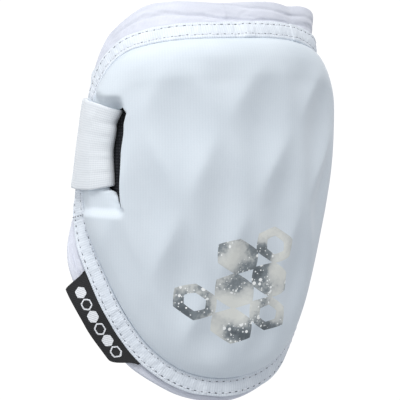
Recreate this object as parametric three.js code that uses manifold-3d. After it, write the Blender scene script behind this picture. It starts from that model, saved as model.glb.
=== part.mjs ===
// Elbow guard for a batter: a moulded foam pad with a dimpled face, a black lining behind it,
// a padded white liner rim that stands up as a collar, a flat sewn edge tape, an elastic strap
// that starts in a slot on the left, closes round the arm and is sewn behind the right edge, and
// a folded label tab.
//
// Millimetres, +Z up along the arm, the pad facing -Y, the origin on the arm's axis.
// The pad is laid out on an unrolled sheet: "across" runs round the arm from the middle of the
// front, "height" runs up the arm, and "rise" stands out from the pad's inner face.

import * as THREE from 'three';
import Module from 'manifold-3d';

const wasm = await Module();
wasm.setup();

// Driving dimensions
const SHELL_RADIUS = 60; // pad's inner face to the arm's axis
const MOUTH = { radius: 63.5, from: 35, to: 80 }; // the shell opens towards its top
const BOW = { level: 17, top: 82, top_setback: 5, bottom: -74, bottom_setback: 12 };
const GAP = 0.3; // between sewn neighbours
const STRAP_MARGIN = 1; // how far the liner rim shows past the tape where the strap crosses it

// The crease where the pad meets the tape, from the top of the pad to its lower tip, to each
// side of the middle
const CREASE_ROWS = [
  { height: 75.6, left: 0, right: 0 },
  { height: 75.3, left: 18, right: 16 },
  { height: 73.7, left: 31, right: 30 },
  { height: 70, left: 43.5, right: 43.5 },
  { height: 64, left: 51.5, right: 53 },
  { height: 56.5, left: 57, right: 58.5 },
  { height: 48, left: 61, right: 61.5 },
  { height: 28, left: 65.5, right: 62 },
  { height: 13, left: 67.6, right: 60 },
  { height: 3, left: 66, right: 57 },
  { height: -7, left: 62.5, right: 53.5 },
  { height: -21, left: 55.5, right: 48.8 },
  { height: -39.5, left: 44.5, right: 41.3 },
  { height: -54, left: 32, right: 31.5 },
  { height: -63.6, left: 17, right: 17 },
  { height: -66.8, left: 0, right: 0 },
];

// The sewn flange outside the crease, from the top (along 0) to the lower tip (along 1):
// flare turns it away from the arm, margin is how far the liner rim shows past the tape
const FLANGE_ROWS = [
  { along: 0, left_flare: -38, right_flare: -38, left_margin: 11.4, right_margin: 11.4 },
  { along: 0.15, left_flare: -38, right_flare: -28, left_margin: 13.8, right_margin: 11 },
  { along: 0.22, left_flare: -38, right_flare: -10, left_margin: 10, right_margin: 13 },
  { along: 0.28, left_flare: -34, right_flare: -26, left_margin: 5.5, right_margin: 6 },
  { along: 0.33, left_flare: -36, right_flare: -36, left_margin: STRAP_MARGIN, right_margin: 3 },
  { along: 0.46, left_flare: -32, right_flare: -40, left_margin: STRAP_MARGIN, right_margin: 3 },
  { along: 0.64, left_flare: 24, right_flare: -36, left_margin: 7, right_margin: 3 },
  { along: 0.71, left_flare: 24, right_flare: -32, left_margin: 8, right_margin: 3 },
  { along: 0.81, left_flare: 14, right_flare: -22, left_margin: 5, right_margin: 2.6 },
  { along: 0.91, left_flare: 14, right_flare: 0, left_margin: 3, right_margin: 2 },
  { along: 1, left_flare: 14, right_flare: 14, left_margin: 2.6, right_margin: 2.6 },
];

const PAD = {
  edge_rise: 1.6, crown_top: 9, crown_bottom: 5.8, shoulder_top: 9, shoulder_bottom: 18,
  thin_below: 25, thinnest: -45, right_shoulder: 9, right_from: 15, right_to: 45, right_below: 45,
  right_full: 5, top_shoulder: 8, top_from: 46, top_to: 68,
};

// Diamond dimples in staggered rows between slanting crests: the columns lean a little to the right
// going up and fan out
const DIMPLE = {
  depth: 3.6, width: 30.9, fan: 0.166, narrowest: 25.3, row: 32.1, across: -7.9, level: 40,
  lean: 0.036, crest: 0.2, fade_from: 4, fade_to: 19,
};
const CHANNEL = {
  low: 2, low_wall: 4.2, high: 53.4, high_at_edge: 55.8, top_wall: 5, side_wall: 4,
  floor_rise: 5, run_out: 7,
};

// The slot through the pad on the left, from its lower end up: its edge nearer the middle, its
// edge at the bridge, bowed by the strap's pull, and where the channel round it starts
const SLOT_ROWS = [
  { height: 5.4, near: 46.2, far: 46.8, seat: 44 },
  { height: 7.4, near: 46.5, far: 47.4, seat: 45.2 },
  { height: 9.5, near: 46.7, far: 48.2, seat: 46.2 },
  { height: 12.2, near: 46.8, far: 50.2, seat: 46.4 },
  { height: 14.2, near: 46.9, far: 53.4, seat: 46.4 },
  { height: 28, near: 46.4, far: 54, seat: 46.2 },
  { height: 40, near: 45, far: 52.2, seat: 45 },
  { height: 47.2, near: 43.4, far: 49.2, seat: 43.4 },
];
const BRIDGE = { reach: 6.5, nose_rise: 2.7, overhang: 2.2, fade: 4 }; // rounded off towards the slot
const POCKET = { depth: 5, low: 13.5, high: 47.2, rise: 2.1 }; // under the bridge, for the strap's end

const LINING = { thickness: 2, inset: 0.6 };
const TAPE = { width: 8.4, thickness: 1.3, crown: 0.3 };
const RIM = { thickness: 3, start: 1.5, round: 0.9, drop: 0.65 };
const STRAP = {
  thickness: 1.5, mouth_low: 15, mouth_high: 46.6, low: 12.5, high: 50.5,
  clearance: 0.45, first_rise: 0.3, first_spread: 0.7, back_radius: 38, back_centre: 2, tuck: 4,
  sewn_from: 4, sewn_to: 11,
};
// The strap's line over the tape: its lift and spread over the crease, where it rests on the tape as a
// share of the tape's width, its lift as shares at the tape's edge and at the turn, and the turn's bulge
const OVER_TAPE = {
  crease_lift: 0.9, crease_spread: 0.92, rest: 0.55, edge_lift: 0.95, turn_lift: 0.4, turn_out: 0.8,
};
const LABEL = { from: 0.645, to: 0.846, lift: 0.15, thickness: 1 };

// The label's reach past the tape: a straight strip beside a curved edge, so its ends run out
const LABEL_ROWS = [
  { along: 0, reach: 0.8 },
  { along: 0.08, reach: 10.4 },
  { along: 0.45, reach: 9.4 },
  { along: 0.8, reach: 8.8 },
  { along: 1, reach: 0.8 },
];

const PAD_GRID = { across: 26, up: 32, insets: [0, 0.7, 2.2, 4.8, 9] };
const LINING_GRID = { across: 12, up: 16, insets: [0] };
const CUT = { below: 1, above: 14 }; // how far the cuts run past the pad's two faces
const RING_STEPS = 120;
const STRAP_ROWS = 4;
const STRAP_STEPS_PER_SPAN = 2;

const WHITE_KNIT = new THREE.MeshStandardMaterial({ color: 0xe4e8ef, roughness: 0.75, metalness: 0 });
const WHITE_PADDING = new THREE.MeshStandardMaterial({ color: 0xe6e8f1, roughness: 0.8, metalness: 0 });
const WHITE_TAPE = new THREE.MeshStandardMaterial({ color: 0xe2e7ee, roughness: 0.85, metalness: 0 });
const WHITE_ELASTIC = new THREE.MeshStandardMaterial({ color: 0xebedef, roughness: 0.8, metalness: 0 });
const BLACK_LINING = new THREE.MeshStandardMaterial({ color: 0x1c1e22, roughness: 0.9, metalness: 0 });
const BLACK_LABEL = new THREE.MeshStandardMaterial({ color: 0x17191d, roughness: 0.7, metalness: 0 });

const { lerp, clamp, degToRad, smoothstep } = THREE.MathUtils;

// The value of one column of a table at a place along its first column, eased between rows
function column(rows, place, name) {
  const key = Object.keys(rows[0])[0];
  const last = rows.findIndex((row) => row[key] >= place);
  if (last <= 0) return rows[last < 0 ? rows.length - 1 : 0][name];
  const [a, b] = [rows[last - 1], rows[last]];
  return lerp(a[name], b[name], smoothstep(place, a[key], b[key]));
}

const slotNear = (height) => column(SLOT_ROWS, height, 'near');
const slotFar = (height) => column(SLOT_ROWS, height, 'far');

// How far back the shell's section sits at a height, and how fast that changes
function setback(height) {
  const above = height > BOW.level;
  const reach = (above ? BOW.top : BOW.bottom) - BOW.level;
  const depth = above ? BOW.top_setback : BOW.bottom_setback;
  const share = (height - BOW.level) / reach;
  return { depth: depth * share * share, slope: (2 * depth * share) / reach };
}

// The shell's radius at a height, and how fast it grows
function shellRadius(height) {
  const share = clamp((height - MOUTH.from) / (MOUTH.to - MOUTH.from), 0, 1);
  const growth = (MOUTH.radius - SHELL_RADIUS) * share;
  return { radius: SHELL_RADIUS + growth * share, widening: (2 * growth) / (MOUTH.to - MOUTH.from) };
}

// The point on the pad's inner face, with the directions across, up and out of it
function shellFrame(across, height) {
  const angle = across / SHELL_RADIUS;
  const { depth, slope } = setback(height);
  const { radius, widening } = shellRadius(height);
  const [sin, cos] = [Math.sin(angle), Math.cos(angle)];
  const point = new THREE.Vector3(radius * sin, depth - radius * cos, height);
  const sideways = new THREE.Vector3(cos, sin, 0);
  const up = new THREE.Vector3(widening * sin, slope - widening * cos, 1);
  const out = new THREE.Vector3().crossVectors(sideways, up).normalize();
  return { point, sideways, up: up.normalize(), out };
}

function onShell(across, height, rise) {
  const { point, out } = shellFrame(across, height);
  return point.addScaledVector(out, rise);
}

// The whole crease as a closed curve on the unrolled sheet, clockwise from the top seen from outside
const rightSide = CREASE_ROWS.map((row) => new THREE.Vector3(row.right, row.height, 0));
const leftSide = CREASE_ROWS.map((row) => new THREE.Vector3(-row.left, row.height, 0)).slice(1, -1).reverse();
const crease = new THREE.CatmullRomCurve3([...rightSide, ...leftSide], true, 'centripetal');
const creasePoints = crease.getSpacedPoints(360);

function distanceToCrease(across, height) {
  return Math.min(...creasePoints.map((p) => Math.hypot(p.x - across, p.y - height)));
}

// A point of the crease at a share of the way round, moved inwards on the sheet
function creaseAt(share, inset = 0) {
  const p = crease.getPointAt(share % 1);
  const t = crease.getTangentAt(share % 1);
  return new THREE.Vector2(p.x + inset * t.y, p.y - inset * t.x);
}

// How far a dimple sinks at a place, from 0 on the crests to about 1 in its middle
function dimpleAt(across, height) {
  const above = height - DIMPLE.level;
  const row = above / DIMPLE.row;
  const middle = DIMPLE.across + DIMPLE.lean * above;
  const sideways = (across - middle) / Math.max(DIMPLE.narrowest, DIMPLE.width + DIMPLE.fan * above);
  const hollow = (phase) => Math.hypot(Math.sin(Math.PI * phase), DIMPLE.crest) - DIMPLE.crest;
  return hollow(sideways - row / 2) * hollow(sideways + row / 2);
}

// The channel's floor: it runs out at the crease, and the bridge beside the slot is rounded off
function channelFloor(across, height, inside) {
  const floor = lerp(PAD.edge_rise, CHANNEL.floor_rise, smoothstep(inside, 0, CHANNEL.run_out));
  const [low, high] = [SLOT_ROWS[0].height, SLOT_ROWS.at(-1).height];
  const above_low = smoothstep(height, low, low + BRIDGE.fade);
  const below_high = 1 - smoothstep(height, high, high + BRIDGE.fade);
  const past = -across - slotFar(height);
  const short = 1 - clamp(past / BRIDGE.reach, 0, 1);
  const rounding = (CHANNEL.floor_rise - BRIDGE.nose_rise) * (1 - Math.sqrt(1 - short * short));
  const overhang = clamp(-past, 0, BRIDGE.overhang);
  return floor - (rounding + overhang) * above_low * below_high;
}

// The pad's outer face: a shoulder that rises from the crease, dimples between narrow crests, and
// a channel on the left that seats the strap
function padRise(across, height) {
  const inside = distanceToCrease(across, height);
  const level = smoothstep(height, PAD.thinnest, PAD.thin_below);
  const right = smoothstep(across, PAD.right_from, PAD.right_to);
  const sloping = right * (1 - smoothstep(height, PAD.right_full, PAD.right_below));
  const towards_top = smoothstep(height, PAD.top_from, PAD.top_to);
  const widening = PAD.right_shoulder * sloping + PAD.top_shoulder * towards_top;
  const shoulder = lerp(PAD.shoulder_bottom, PAD.shoulder_top, level) + widening;
  const crown = lerp(PAD.crown_bottom, PAD.crown_top, level);
  const run = 1 - clamp(inside / shoulder, 0, 1);
  const dome = PAD.edge_rise + (crown - PAD.edge_rise) * Math.sqrt(1 - run * run);
  const fade = smoothstep(inside, DIMPLE.fade_from, DIMPLE.fade_to);
  const face = dome - DIMPLE.depth * dimpleAt(across, height) * fade;

  const high = lerp(CHANNEL.high_at_edge, CHANNEL.high, clamp(inside / CHANNEL.run_out, 0, 1));
  const below_top = 1 - smoothstep(height, high - CHANNEL.top_wall, high);
  const in_height = below_top * smoothstep(height, CHANNEL.low, CHANNEL.low + CHANNEL.low_wall);
  const seat = column(SLOT_ROWS, height, 'seat');
  const in_side = smoothstep(-across, seat, seat + CHANNEL.side_wall);
  return lerp(face, Math.min(face, channelFloor(across, height, inside)), in_height * in_side);
}

// A sheet of points that fills the crease: rings that follow it, then a patch blended from the
// four sides of the innermost ring
function sheet(grid, inset) {
  const corners = { right_top: 0.117, right_low: 0.382, left_low: 0.618, left_top: 0.883 };
  const { across, up, insets } = grid;
  const points = [];
  const triangles = [];
  const quad = (a, b, c, d) => triangles.push([a, b, c], [a, c, d]);

  const spread = (from, to, count) => Array.from({ length: count }, (_, k) => lerp(from, to, k / count));
  const shares = [
    ...spread(corners.left_low, corners.left_top, up),
    ...spread(corners.left_top, corners.right_top + 1, across),
    ...spread(corners.right_top + 1, corners.right_low + 1, up),
    ...spread(corners.right_low + 1, corners.left_low + 1, across),
  ];
  const count = shares.length;
  for (const depth of insets) points.push(...shares.map((share) => creaseAt(share, inset + depth)));

  const first = (insets.length - 1) * count;
  const around = (k) => first + (((k % count) + count) % count);
  const edge = {
    left: (j) => around(j),
    top: (i) => around(up + i),
    right: (j) => around(2 * up + across - j),
    low: (i) => around(2 * up + 2 * across - i),
  };
  const ids = [];
  for (let j = 0; j <= up; j++) {
    ids.push([]);
    for (let i = 0; i <= across; i++) {
      const [u, v] = [i / across, j / up];
      if (i === 0) ids[j].push(edge.left(j));
      else if (i === across) ids[j].push(edge.right(j));
      else if (j === 0) ids[j].push(edge.low(i));
      else if (j === up) ids[j].push(edge.top(i));
      else {
        const at = (id) => points[id];
        const blend = (a, b, share) => at(a).clone().lerp(at(b), share);
        const rows = blend(edge.low(i), edge.top(i), v);
        const sides = blend(edge.left(j), edge.right(j), u);
        const low = blend(edge.low(0), edge.low(across), u);
        const top = blend(edge.top(0), edge.top(across), u);
        ids[j].push(points.push(rows.add(sides).sub(low.lerp(top, v))) - 1);
      }
    }
  }
  for (let j = 0; j < up; j++) {
    for (let i = 0; i < across; i++) quad(ids[j][i], ids[j][i + 1], ids[j + 1][i + 1], ids[j + 1][i]);
  }
  for (let ring = 0; ring < insets.length - 1; ring++) {
    for (let k = 0; k < count; k++) {
      const [a, b] = [ring * count + k, ring * count + ((k + 1) % count)];
      quad(b, a, a + count, b + count);
    }
  }
  return { points, triangles, rim: count };
}

function geometryFrom(points, triangles) {
  const geometry = new THREE.BufferGeometry();
  geometry.setAttribute('position', new THREE.Float32BufferAttribute(points.flatMap((p) => p.toArray()), 3));
  geometry.setIndex(triangles.flat());
  geometry.computeVertexNormals();
  return geometry;
}

// A closed layer on the shell, from a sheet and the rise of its outer and inner faces
function layer({ points, triangles, rim }, outerRise, innerRise) {
  const outer = points.map((p) => onShell(p.x, p.y, outerRise(p.x, p.y)));
  const inner = points.map((p) => onShell(p.x, p.y, innerRise));
  const back = points.length;
  const all = [...triangles, ...triangles.map(([a, b, c]) => [back + a, back + c, back + b])];
  for (let k = 0; k < rim; k++) {
    const next = (k + 1) % rim;
    all.push([k, next, back + next], [k, back + next, back + k]);
  }
  return geometryFrom([...outer, ...inner], all);
}

// A closed wall between two matching grids of points, the first one facing out
function wall(outer, inner) {
  const rows = outer.length;
  const columns = outer[0].length;
  const points = [...outer.flat(), ...inner.flat()];
  const front = (j, i) => j * columns + i;
  const back = (j, i) => rows * columns + front(j, i);
  const triangles = [];
  const quad = (a, b, c, d) => triangles.push([a, b, c], [a, c, d]);
  for (let j = 0; j < rows - 1; j++) {
    for (let i = 0; i < columns - 1; i++) {
      quad(front(j, i), front(j, i + 1), front(j + 1, i + 1), front(j + 1, i));
      quad(back(j, i), back(j + 1, i), back(j + 1, i + 1), back(j, i + 1));
    }
  }
  for (let i = 0; i < columns - 1; i++) {
    quad(front(0, i), back(0, i), back(0, i + 1), front(0, i + 1));
    quad(front(rows - 1, i), front(rows - 1, i + 1), back(rows - 1, i + 1), back(rows - 1, i));
  }
  for (let j = 0; j < rows - 1; j++) {
    quad(front(j, 0), front(j + 1, 0), back(j + 1, 0), back(j, 0));
    quad(front(j, columns - 1), back(j, columns - 1), back(j + 1, columns - 1), front(j + 1, columns - 1));
  }
  return geometryFrom(points, triangles);
}

// A solid swept through matching closed sections, closed on itself or capped at its two ends;
// mirrored splits its facets along the other diagonal
function sweep(sections, closed, mirrored = false) {
  const count = sections[0].length;
  const steps = sections.length;
  const triangles = [];
  for (let k = 0; k < (closed ? steps : steps - 1); k++) {
    for (let i = 0; i < count; i++) {
      const [a, b] = [k * count + i, k * count + ((i + 1) % count)];
      const [c, d] = [((k + 1) % steps) * count + ((i + 1) % count), ((k + 1) % steps) * count + i];
      if (mirrored) triangles.push([a, b, d], [b, c, d]);
      else triangles.push([a, b, c], [a, c, d]);
    }
  }
  if (!closed) {
    const end = (steps - 1) * count;
    for (let i = 1; i < count - 1; i++) {
      triangles.push([0, i + 1, i], [end, end + i, end + i + 1]);
    }
  }
  return geometryFrom(sections.flat(), triangles);
}

function toSolid(geometry) {
  const vertProperties = geometry.getAttribute('position').array;
  const triVerts = new Uint32Array(geometry.index.array);
  return new wasm.Manifold(new wasm.Mesh({ numProp: 3, vertProperties, triVerts }));
}

function toGeometry(solid) {
  const mesh = solid.getMesh();
  const geometry = new THREE.BufferGeometry();
  geometry.setAttribute('position', new THREE.BufferAttribute(new Float32Array(mesh.vertProperties), 3));
  geometry.setIndex(new THREE.BufferAttribute(new Uint32Array(mesh.triVerts), 1));
  geometry.computeVertexNormals();
  return geometry;
}

// A block through the shell on the left, between two edges given by height and between two rises
function shellBlock(heights, near, far, rises) {
  const [columns, rows] = [2, 16];
  const grid = (rise) => Array.from({ length: rows + 1 }, (_, j) => {
    const height = lerp(heights[0], heights[1], j / rows);
    return Array.from({ length: columns + 1 }, (_, i) => {
      return onShell(-lerp(far(height), near(height), i / columns), height, rise);
    });
  });
  return wall(grid(rises[1]), grid(rises[0]));
}

function pad() {
  const slotHeights = [SLOT_ROWS[0].height, SLOT_ROWS.at(-1).height];
  const pocketFar = (height) => slotFar(height) + POCKET.depth;
  const slot = shellBlock(slotHeights, slotNear, slotFar, [-CUT.below, CUT.above]);
  const pocket = shellBlock([POCKET.low, POCKET.high], slotNear, pocketFar, [-CUT.below, POCKET.rise]);
  const solid = toSolid(layer(sheet(PAD_GRID, 0), padRise, 0));
  return toGeometry(solid.subtract(toSolid(slot)).subtract(toSolid(pocket)));
}

function lining() {
  return layer(sheet(LINING_GRID, LINING.inset), () => -GAP, -GAP - LINING.thickness);
}

// A station on the crease, with the directions out along the sewn flange and up off its face
function flangeStation(share) {
  const p = crease.getPointAt(share % 1);
  const t = crease.getTangentAt(share % 1);
  const { point, sideways, up, out } = shellFrame(p.x, p.y);
  const along = 1 - Math.abs(1 - 2 * (share % 1));
  const side = share % 1 > 0.5 ? 'left' : 'right';
  const flare = degToRad(column(FLANGE_ROWS, along, side + '_flare'));
  const away = sideways.clone().multiplyScalar(-t.y).addScaledVector(up, t.x).normalize();
  const outward = away.clone().multiplyScalar(Math.cos(flare)).addScaledVector(out, Math.sin(flare));
  const lift = away.clone().multiplyScalar(-Math.sin(flare)).addScaledVector(out, Math.cos(flare));
  const margin = column(FLANGE_ROWS, along, side + '_margin');
  const start = (GAP + TAPE.thickness * Math.max(0, Math.sin(flare))) / Math.cos(flare);
  const at = (reach, height) => point.clone().addScaledVector(outward, reach).addScaledVector(lift, height);
  return { at, margin, start };
}

const ringShares = Array.from({ length: RING_STEPS }, (_, k) => k / RING_STEPS);

function edgeTape() {
  return sweep(ringShares.map((share) => {
    const { at, start } = flangeStation(share);
    const middle = (start + TAPE.width) / 2;
    return [
      at(start, 0), at(TAPE.width, 0), at(TAPE.width, TAPE.thickness),
      at(middle, TAPE.thickness + TAPE.crown), at(start, TAPE.thickness),
    ];
  }), true, true);
}

function linerRim() {
  return sweep(ringShares.map((share) => {
    const { at, margin, start } = flangeStation(share);
    const inner = start + RIM.start;
    const outer = TAPE.width + margin;
    const [top, low] = [-RIM.drop, -RIM.drop - RIM.thickness];
    return [
      at(inner, low), at(outer - RIM.round, low), at(outer, low + RIM.round),
      at(outer, top - RIM.round), at(outer - RIM.round, top), at(inner, top),
    ];
  }), true);
}

// The point of the flange at a reach past the crease, a lift off its face and a height on one side
function flangeAtHeight(reach, lift, height, side) {
  let [low, high] = [0.02, 0.48];
  const at = (share) => flangeStation(side > 0 ? share : 1 - share).at(reach, lift);
  for (let step = 0; step < 30; step++) {
    const middle = (low + high) / 2;
    if (at(middle).z > height) low = middle;
    else high = middle;
  }
  return at(low);
}

// The strap's left line, from its end under the bridge, round the bridge's nose and over the tape
function strapStart(row, height) {
  const mouth = lerp(STRAP.mouth_low, STRAP.mouth_high, row);
  const half = STRAP.thickness / 2;
  const under = STRAP.clearance + half - GAP;
  const clear = STRAP.clearance + half;
  const over = CHANNEL.floor_rise + clear;
  const bridge = slotFar(mouth);
  const points = [];

  const onPad = (past, z, rise) => points.push(onShell(-bridge - past, z, rise));
  onPad(STRAP.tuck, mouth, under);
  onPad(STRAP.tuck / 2, mouth, under);
  onPad(0, mouth, under);
  onPad(-clear, mouth, lerp(under, BRIDGE.nose_rise, STRAP.first_rise));
  const steps = 4;
  for (let step = 0; step <= steps; step++) {
    const turn = (Math.PI / 2) * (step / steps);
    const past = BRIDGE.reach - (BRIDGE.reach + clear + GAP) * Math.cos(turn);
    const rise = BRIDGE.nose_rise + (over - BRIDGE.nose_rise) * Math.sin(turn);
    onPad(past, lerp(mouth, height, STRAP.first_spread * (1 - Math.cos(turn))), rise);
  }

  const lift = TAPE.thickness + TAPE.crown + clear;
  const turn = TAPE.width + STRAP_MARGIN + clear + GAP;
  const onFlange = (reach, rise, z = height) => points.push(flangeAtHeight(reach, rise, z, -1));
  onFlange(0, lift + OVER_TAPE.crease_lift, lerp(mouth, height, OVER_TAPE.crease_spread));
  onFlange(TAPE.width * OVER_TAPE.rest, lift);
  onFlange(TAPE.width, lift * OVER_TAPE.edge_lift);
  onFlange(turn, lift * OVER_TAPE.turn_lift);
  onFlange(turn + OVER_TAPE.turn_out, -RIM.thickness);
  return points;
}

// The strap's right line, sewn flat behind the liner rim
function strapEnd(height) {
  const behind = -RIM.drop - RIM.thickness - STRAP.clearance - STRAP.thickness / 2;
  const reaches = [STRAP.sewn_from, (STRAP.sewn_from + STRAP.sewn_to) / 2, STRAP.sewn_to];
  return reaches.map((reach) => flangeAtHeight(reach, behind, height, 1));
}

// One side's line of the strap, carried on from its sewn or threaded end to the back of the arm
function strapLine(row, side) {
  const height = lerp(STRAP.low, STRAP.high, row);
  const points = side < 0 ? strapStart(row, height) : strapEnd(height);
  const from = points.at(-1);
  const radius = STRAP.back_radius + STRAP.thickness / 2;
  const [x, y] = [side * from.x, from.y - STRAP.back_centre];
  const touch = Math.atan2(y, x) + Math.acos(radius / Math.hypot(x, y));
  const onBack = (angle) => new THREE.Vector3(
    side * radius * Math.cos(angle), STRAP.back_centre + radius * Math.sin(angle), height);
  points.push(from.clone().lerp(onBack(touch), 0.5));
  for (let step = 0; step < 4; step++) points.push(onBack(lerp(touch, Math.PI / 2, step / 4)));
  return points;
}

function strap() {
  const lines = Array.from({ length: STRAP_ROWS + 1 }, (_, j) => {
    const row = j / STRAP_ROWS;
    const height = lerp(STRAP.low, STRAP.high, row);
    const back = new THREE.Vector3(0, STRAP.back_centre + STRAP.back_radius + STRAP.thickness / 2, height);
    const path = [...strapLine(row, -1), back, ...strapLine(row, 1).reverse()];
    const curve = new THREE.CatmullRomCurve3(path, false, 'centripetal');
    return curve.getPoints((path.length - 1) * STRAP_STEPS_PER_SPAN);
  });
  const between = (a, b) => new THREE.Vector3().subVectors(b, a);
  const offset = (distance) => lines.map((line, j) => line.map((p, i) => {
    const forward = between(line[Math.max(i - 1, 0)], line[Math.min(i + 1, line.length - 1)]);
    const across = between(lines[Math.max(j - 1, 0)][i], lines[Math.min(j + 1, STRAP_ROWS)][i]);
    return p.clone().addScaledVector(forward.cross(across).normalize(), distance);
  }));
  return wall(offset(STRAP.thickness / 2), offset(-STRAP.thickness / 2));
}

function labelTab() {
  const steps = 10;
  return sweep(Array.from({ length: steps + 1 }, (_, k) => {
    const { at } = flangeStation(1 - lerp(LABEL.from, LABEL.to, k / steps) / 2);
    const from = TAPE.width + GAP;
    const to = from + column(LABEL_ROWS, k / steps, 'reach');
    const [low, high] = [LABEL.lift, LABEL.lift + LABEL.thickness];
    return [at(from, low), at(from, high), at(to, high), at(to, low)];
  }), false);
}

const guard = new THREE.Group();
const pieces = [
  ['pad', pad(), WHITE_KNIT],
  ['lining', lining(), BLACK_LINING],
  ['liner_rim', linerRim(), WHITE_PADDING],
  ['edge_tape', edgeTape(), WHITE_TAPE],
  ['strap', strap(), WHITE_ELASTIC],
  ['label_tab', labelTab(), BLACK_LABEL],
];
for (const [name, geometry, material] of pieces) {
  const mesh = new THREE.Mesh(geometry, material);
  mesh.name = name;
  guard.add(mesh);
}

export default guard;
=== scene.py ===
import math
from types import SimpleNamespace as Sizes

import bmesh
import bpy
import numpy as np
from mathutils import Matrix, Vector


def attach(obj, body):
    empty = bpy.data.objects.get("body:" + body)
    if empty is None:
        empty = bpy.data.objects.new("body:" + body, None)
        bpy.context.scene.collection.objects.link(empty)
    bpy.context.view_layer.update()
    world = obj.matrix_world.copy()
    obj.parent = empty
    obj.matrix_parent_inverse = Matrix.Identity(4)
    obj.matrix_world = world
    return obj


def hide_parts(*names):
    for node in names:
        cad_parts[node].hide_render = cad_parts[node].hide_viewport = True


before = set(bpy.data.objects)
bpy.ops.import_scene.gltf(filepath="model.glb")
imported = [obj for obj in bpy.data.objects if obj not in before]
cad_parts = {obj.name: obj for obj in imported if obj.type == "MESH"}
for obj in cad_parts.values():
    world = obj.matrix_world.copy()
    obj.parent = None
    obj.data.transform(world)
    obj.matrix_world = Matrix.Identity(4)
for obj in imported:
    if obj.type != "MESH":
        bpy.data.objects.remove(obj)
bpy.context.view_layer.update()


def table(columns, *rows):
    """Rows of a table, each with its values by the names of the columns."""
    return [dict(zip(columns.split(), row)) for row in rows]


# The guard's own sizes, in millimetres and degrees, as its solids have them. The pad is laid out
# on an unrolled sheet: across runs round the arm from the middle of the front, height runs up
# the arm, and rise stands out from the pad's inner face.
MM = 0.001
SHELL_RADIUS = 60
MOUTH = Sizes(radius=63.5, start=35, end=80)
BOW = Sizes(level=17, top=82, top_setback=5, bottom=-74, bottom_setback=12)
GAP = 0.3
STRAP_MARGIN = 1

# The crease where the pad meets the tape, from the top of the pad to its lower tip
CREASE_ROWS = table(
    "height left right",
    (75.6, 0, 0),
    (75.3, 18, 16),
    (73.7, 31, 30),
    (70, 43.5, 43.5),
    (64, 51.5, 53),
    (56.5, 57, 58.5),
    (48, 61, 61.5),
    (28, 65.5, 62),
    (13, 67.6, 60),
    (3, 66, 57),
    (-7, 62.5, 53.5),
    (-21, 55.5, 48.8),
    (-39.5, 44.5, 41.3),
    (-54, 32, 31.5),
    (-63.6, 17, 17),
    (-66.8, 0, 0),
)

# The sewn flange outside the crease, from the top (along 0) to the lower tip (along 1): flare
# turns it away from the arm, margin is how far the liner rim shows past the tape
FLANGE_ROWS = table(
    "along left_flare right_flare left_margin right_margin",
    (0, -38, -38, 11.4, 11.4),
    (0.15, -38, -28, 13.8, 11),
    (0.22, -38, -10, 10, 13),
    (0.28, -34, -26, 5.5, 6),
    (0.33, -36, -36, STRAP_MARGIN, 3),
    (0.46, -32, -40, STRAP_MARGIN, 3),
    (0.64, 24, -36, 7, 3),
    (0.71, 24, -32, 8, 3),
    (0.81, 14, -22, 5, 2.6),
    (0.91, 14, 0, 3, 2),
    (1, 14, 14, 2.6, 2.6),
)

PAD = Sizes(
    edge_rise=1.6, crown_top=9, crown_bottom=5.8, shoulder_top=9, shoulder_bottom=18, thin_below=25,
    thinnest=-45, right_shoulder=9, right_from=15, right_to=45, right_below=45, right_full=5,
    top_shoulder=8, top_from=46, top_to=68,
)

# Diamond dimples in staggered rows between slanting crests: the columns lean a little to the right
# going up and fan out
DIMPLE = Sizes(
    depth=3.6, width=30.9, fan=0.166, narrowest=25.3, row=32.1, across=-7.9, level=40, lean=0.036,
    crest=0.2, fade_from=4, fade_to=19,
)
CHANNEL = Sizes(
    low=2, low_wall=4.2, high=53.4, high_at_edge=55.8, top_wall=5, side_wall=4, floor_rise=5, run_out=7,
)

# The slot through the pad on the left: its edge nearer the middle, its edge at the bridge and
# where the channel round it starts
SLOT_ROWS = table(
    "height near far seat",
    (5.4, 46.2, 46.8, 44),
    (7.4, 46.5, 47.4, 45.2),
    (9.5, 46.7, 48.2, 46.2),
    (12.2, 46.8, 50.2, 46.4),
    (14.2, 46.9, 53.4, 46.4),
    (28, 46.4, 54, 46.2),
    (40, 45, 52.2, 45),
    (47.2, 43.4, 49.2, 43.4),
)
SLOT_END = Sizes(low=6.6, high=47.5, taper_low=1.5, taper_high=1.6, near_lip=1.3, far_lip=0.2)
BRIDGE = Sizes(reach=6.5, nose_rise=2.7, fade=4)
POCKET = Sizes(depth=5, low=13.5, high=47.2, rise=2.1, edge=0.5, ease=2)

LINING = Sizes(thickness=2, inset=0.6)
TAPE = Sizes(width=8.4, thickness=1.3, crown=0.3)
RIM = Sizes(thickness=3, start=1.5, round=0.9, drop=0.65)
STRAP = Sizes(
    thickness=1.5, mouth_low=15, mouth_high=46.6, low=12.5, high=50.5, clearance=0.45, first_rise=0.3,
    first_spread=0.7, back_radius=38, back_centre=2, tuck=4, sewn_from=4, sewn_to=11,
)
# The strap's line over the tape: its lift and spread over the crease, where it rests on the tape as a
# share of the tape's width, its lift as shares at the tape's edge and at the turn, and the turn's bulge
OVER_TAPE = Sizes(
    crease_lift=0.9, crease_spread=0.92, rest=0.55, edge_lift=0.95, turn_lift=0.4, turn_out=0.8,
)
LABEL = Sizes(start=0.645, to=0.846, lift=0.15, thickness=1)
LABEL_ROWS = table(
    "along reach",
    (0, 0.8),
    (0.08, 10.4),
    (0.45, 9.4),
    (0.8, 8.8),
    (1, 0.8),
)


# Small helpers

def lerp(a, b, share):
    return a + (b - a) * share


def smoothstep(place, low, high):
    share = np.clip((place - low) / (high - low), 0, 1)
    return share * share * (3 - 2 * share)


def bell(place, middle, width):
    return np.exp(-(((place - middle) / width) ** 2))


def evenly(count):
    """Even shares of a closed line."""
    return np.linspace(0, 1, count, endpoint=False)


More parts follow.
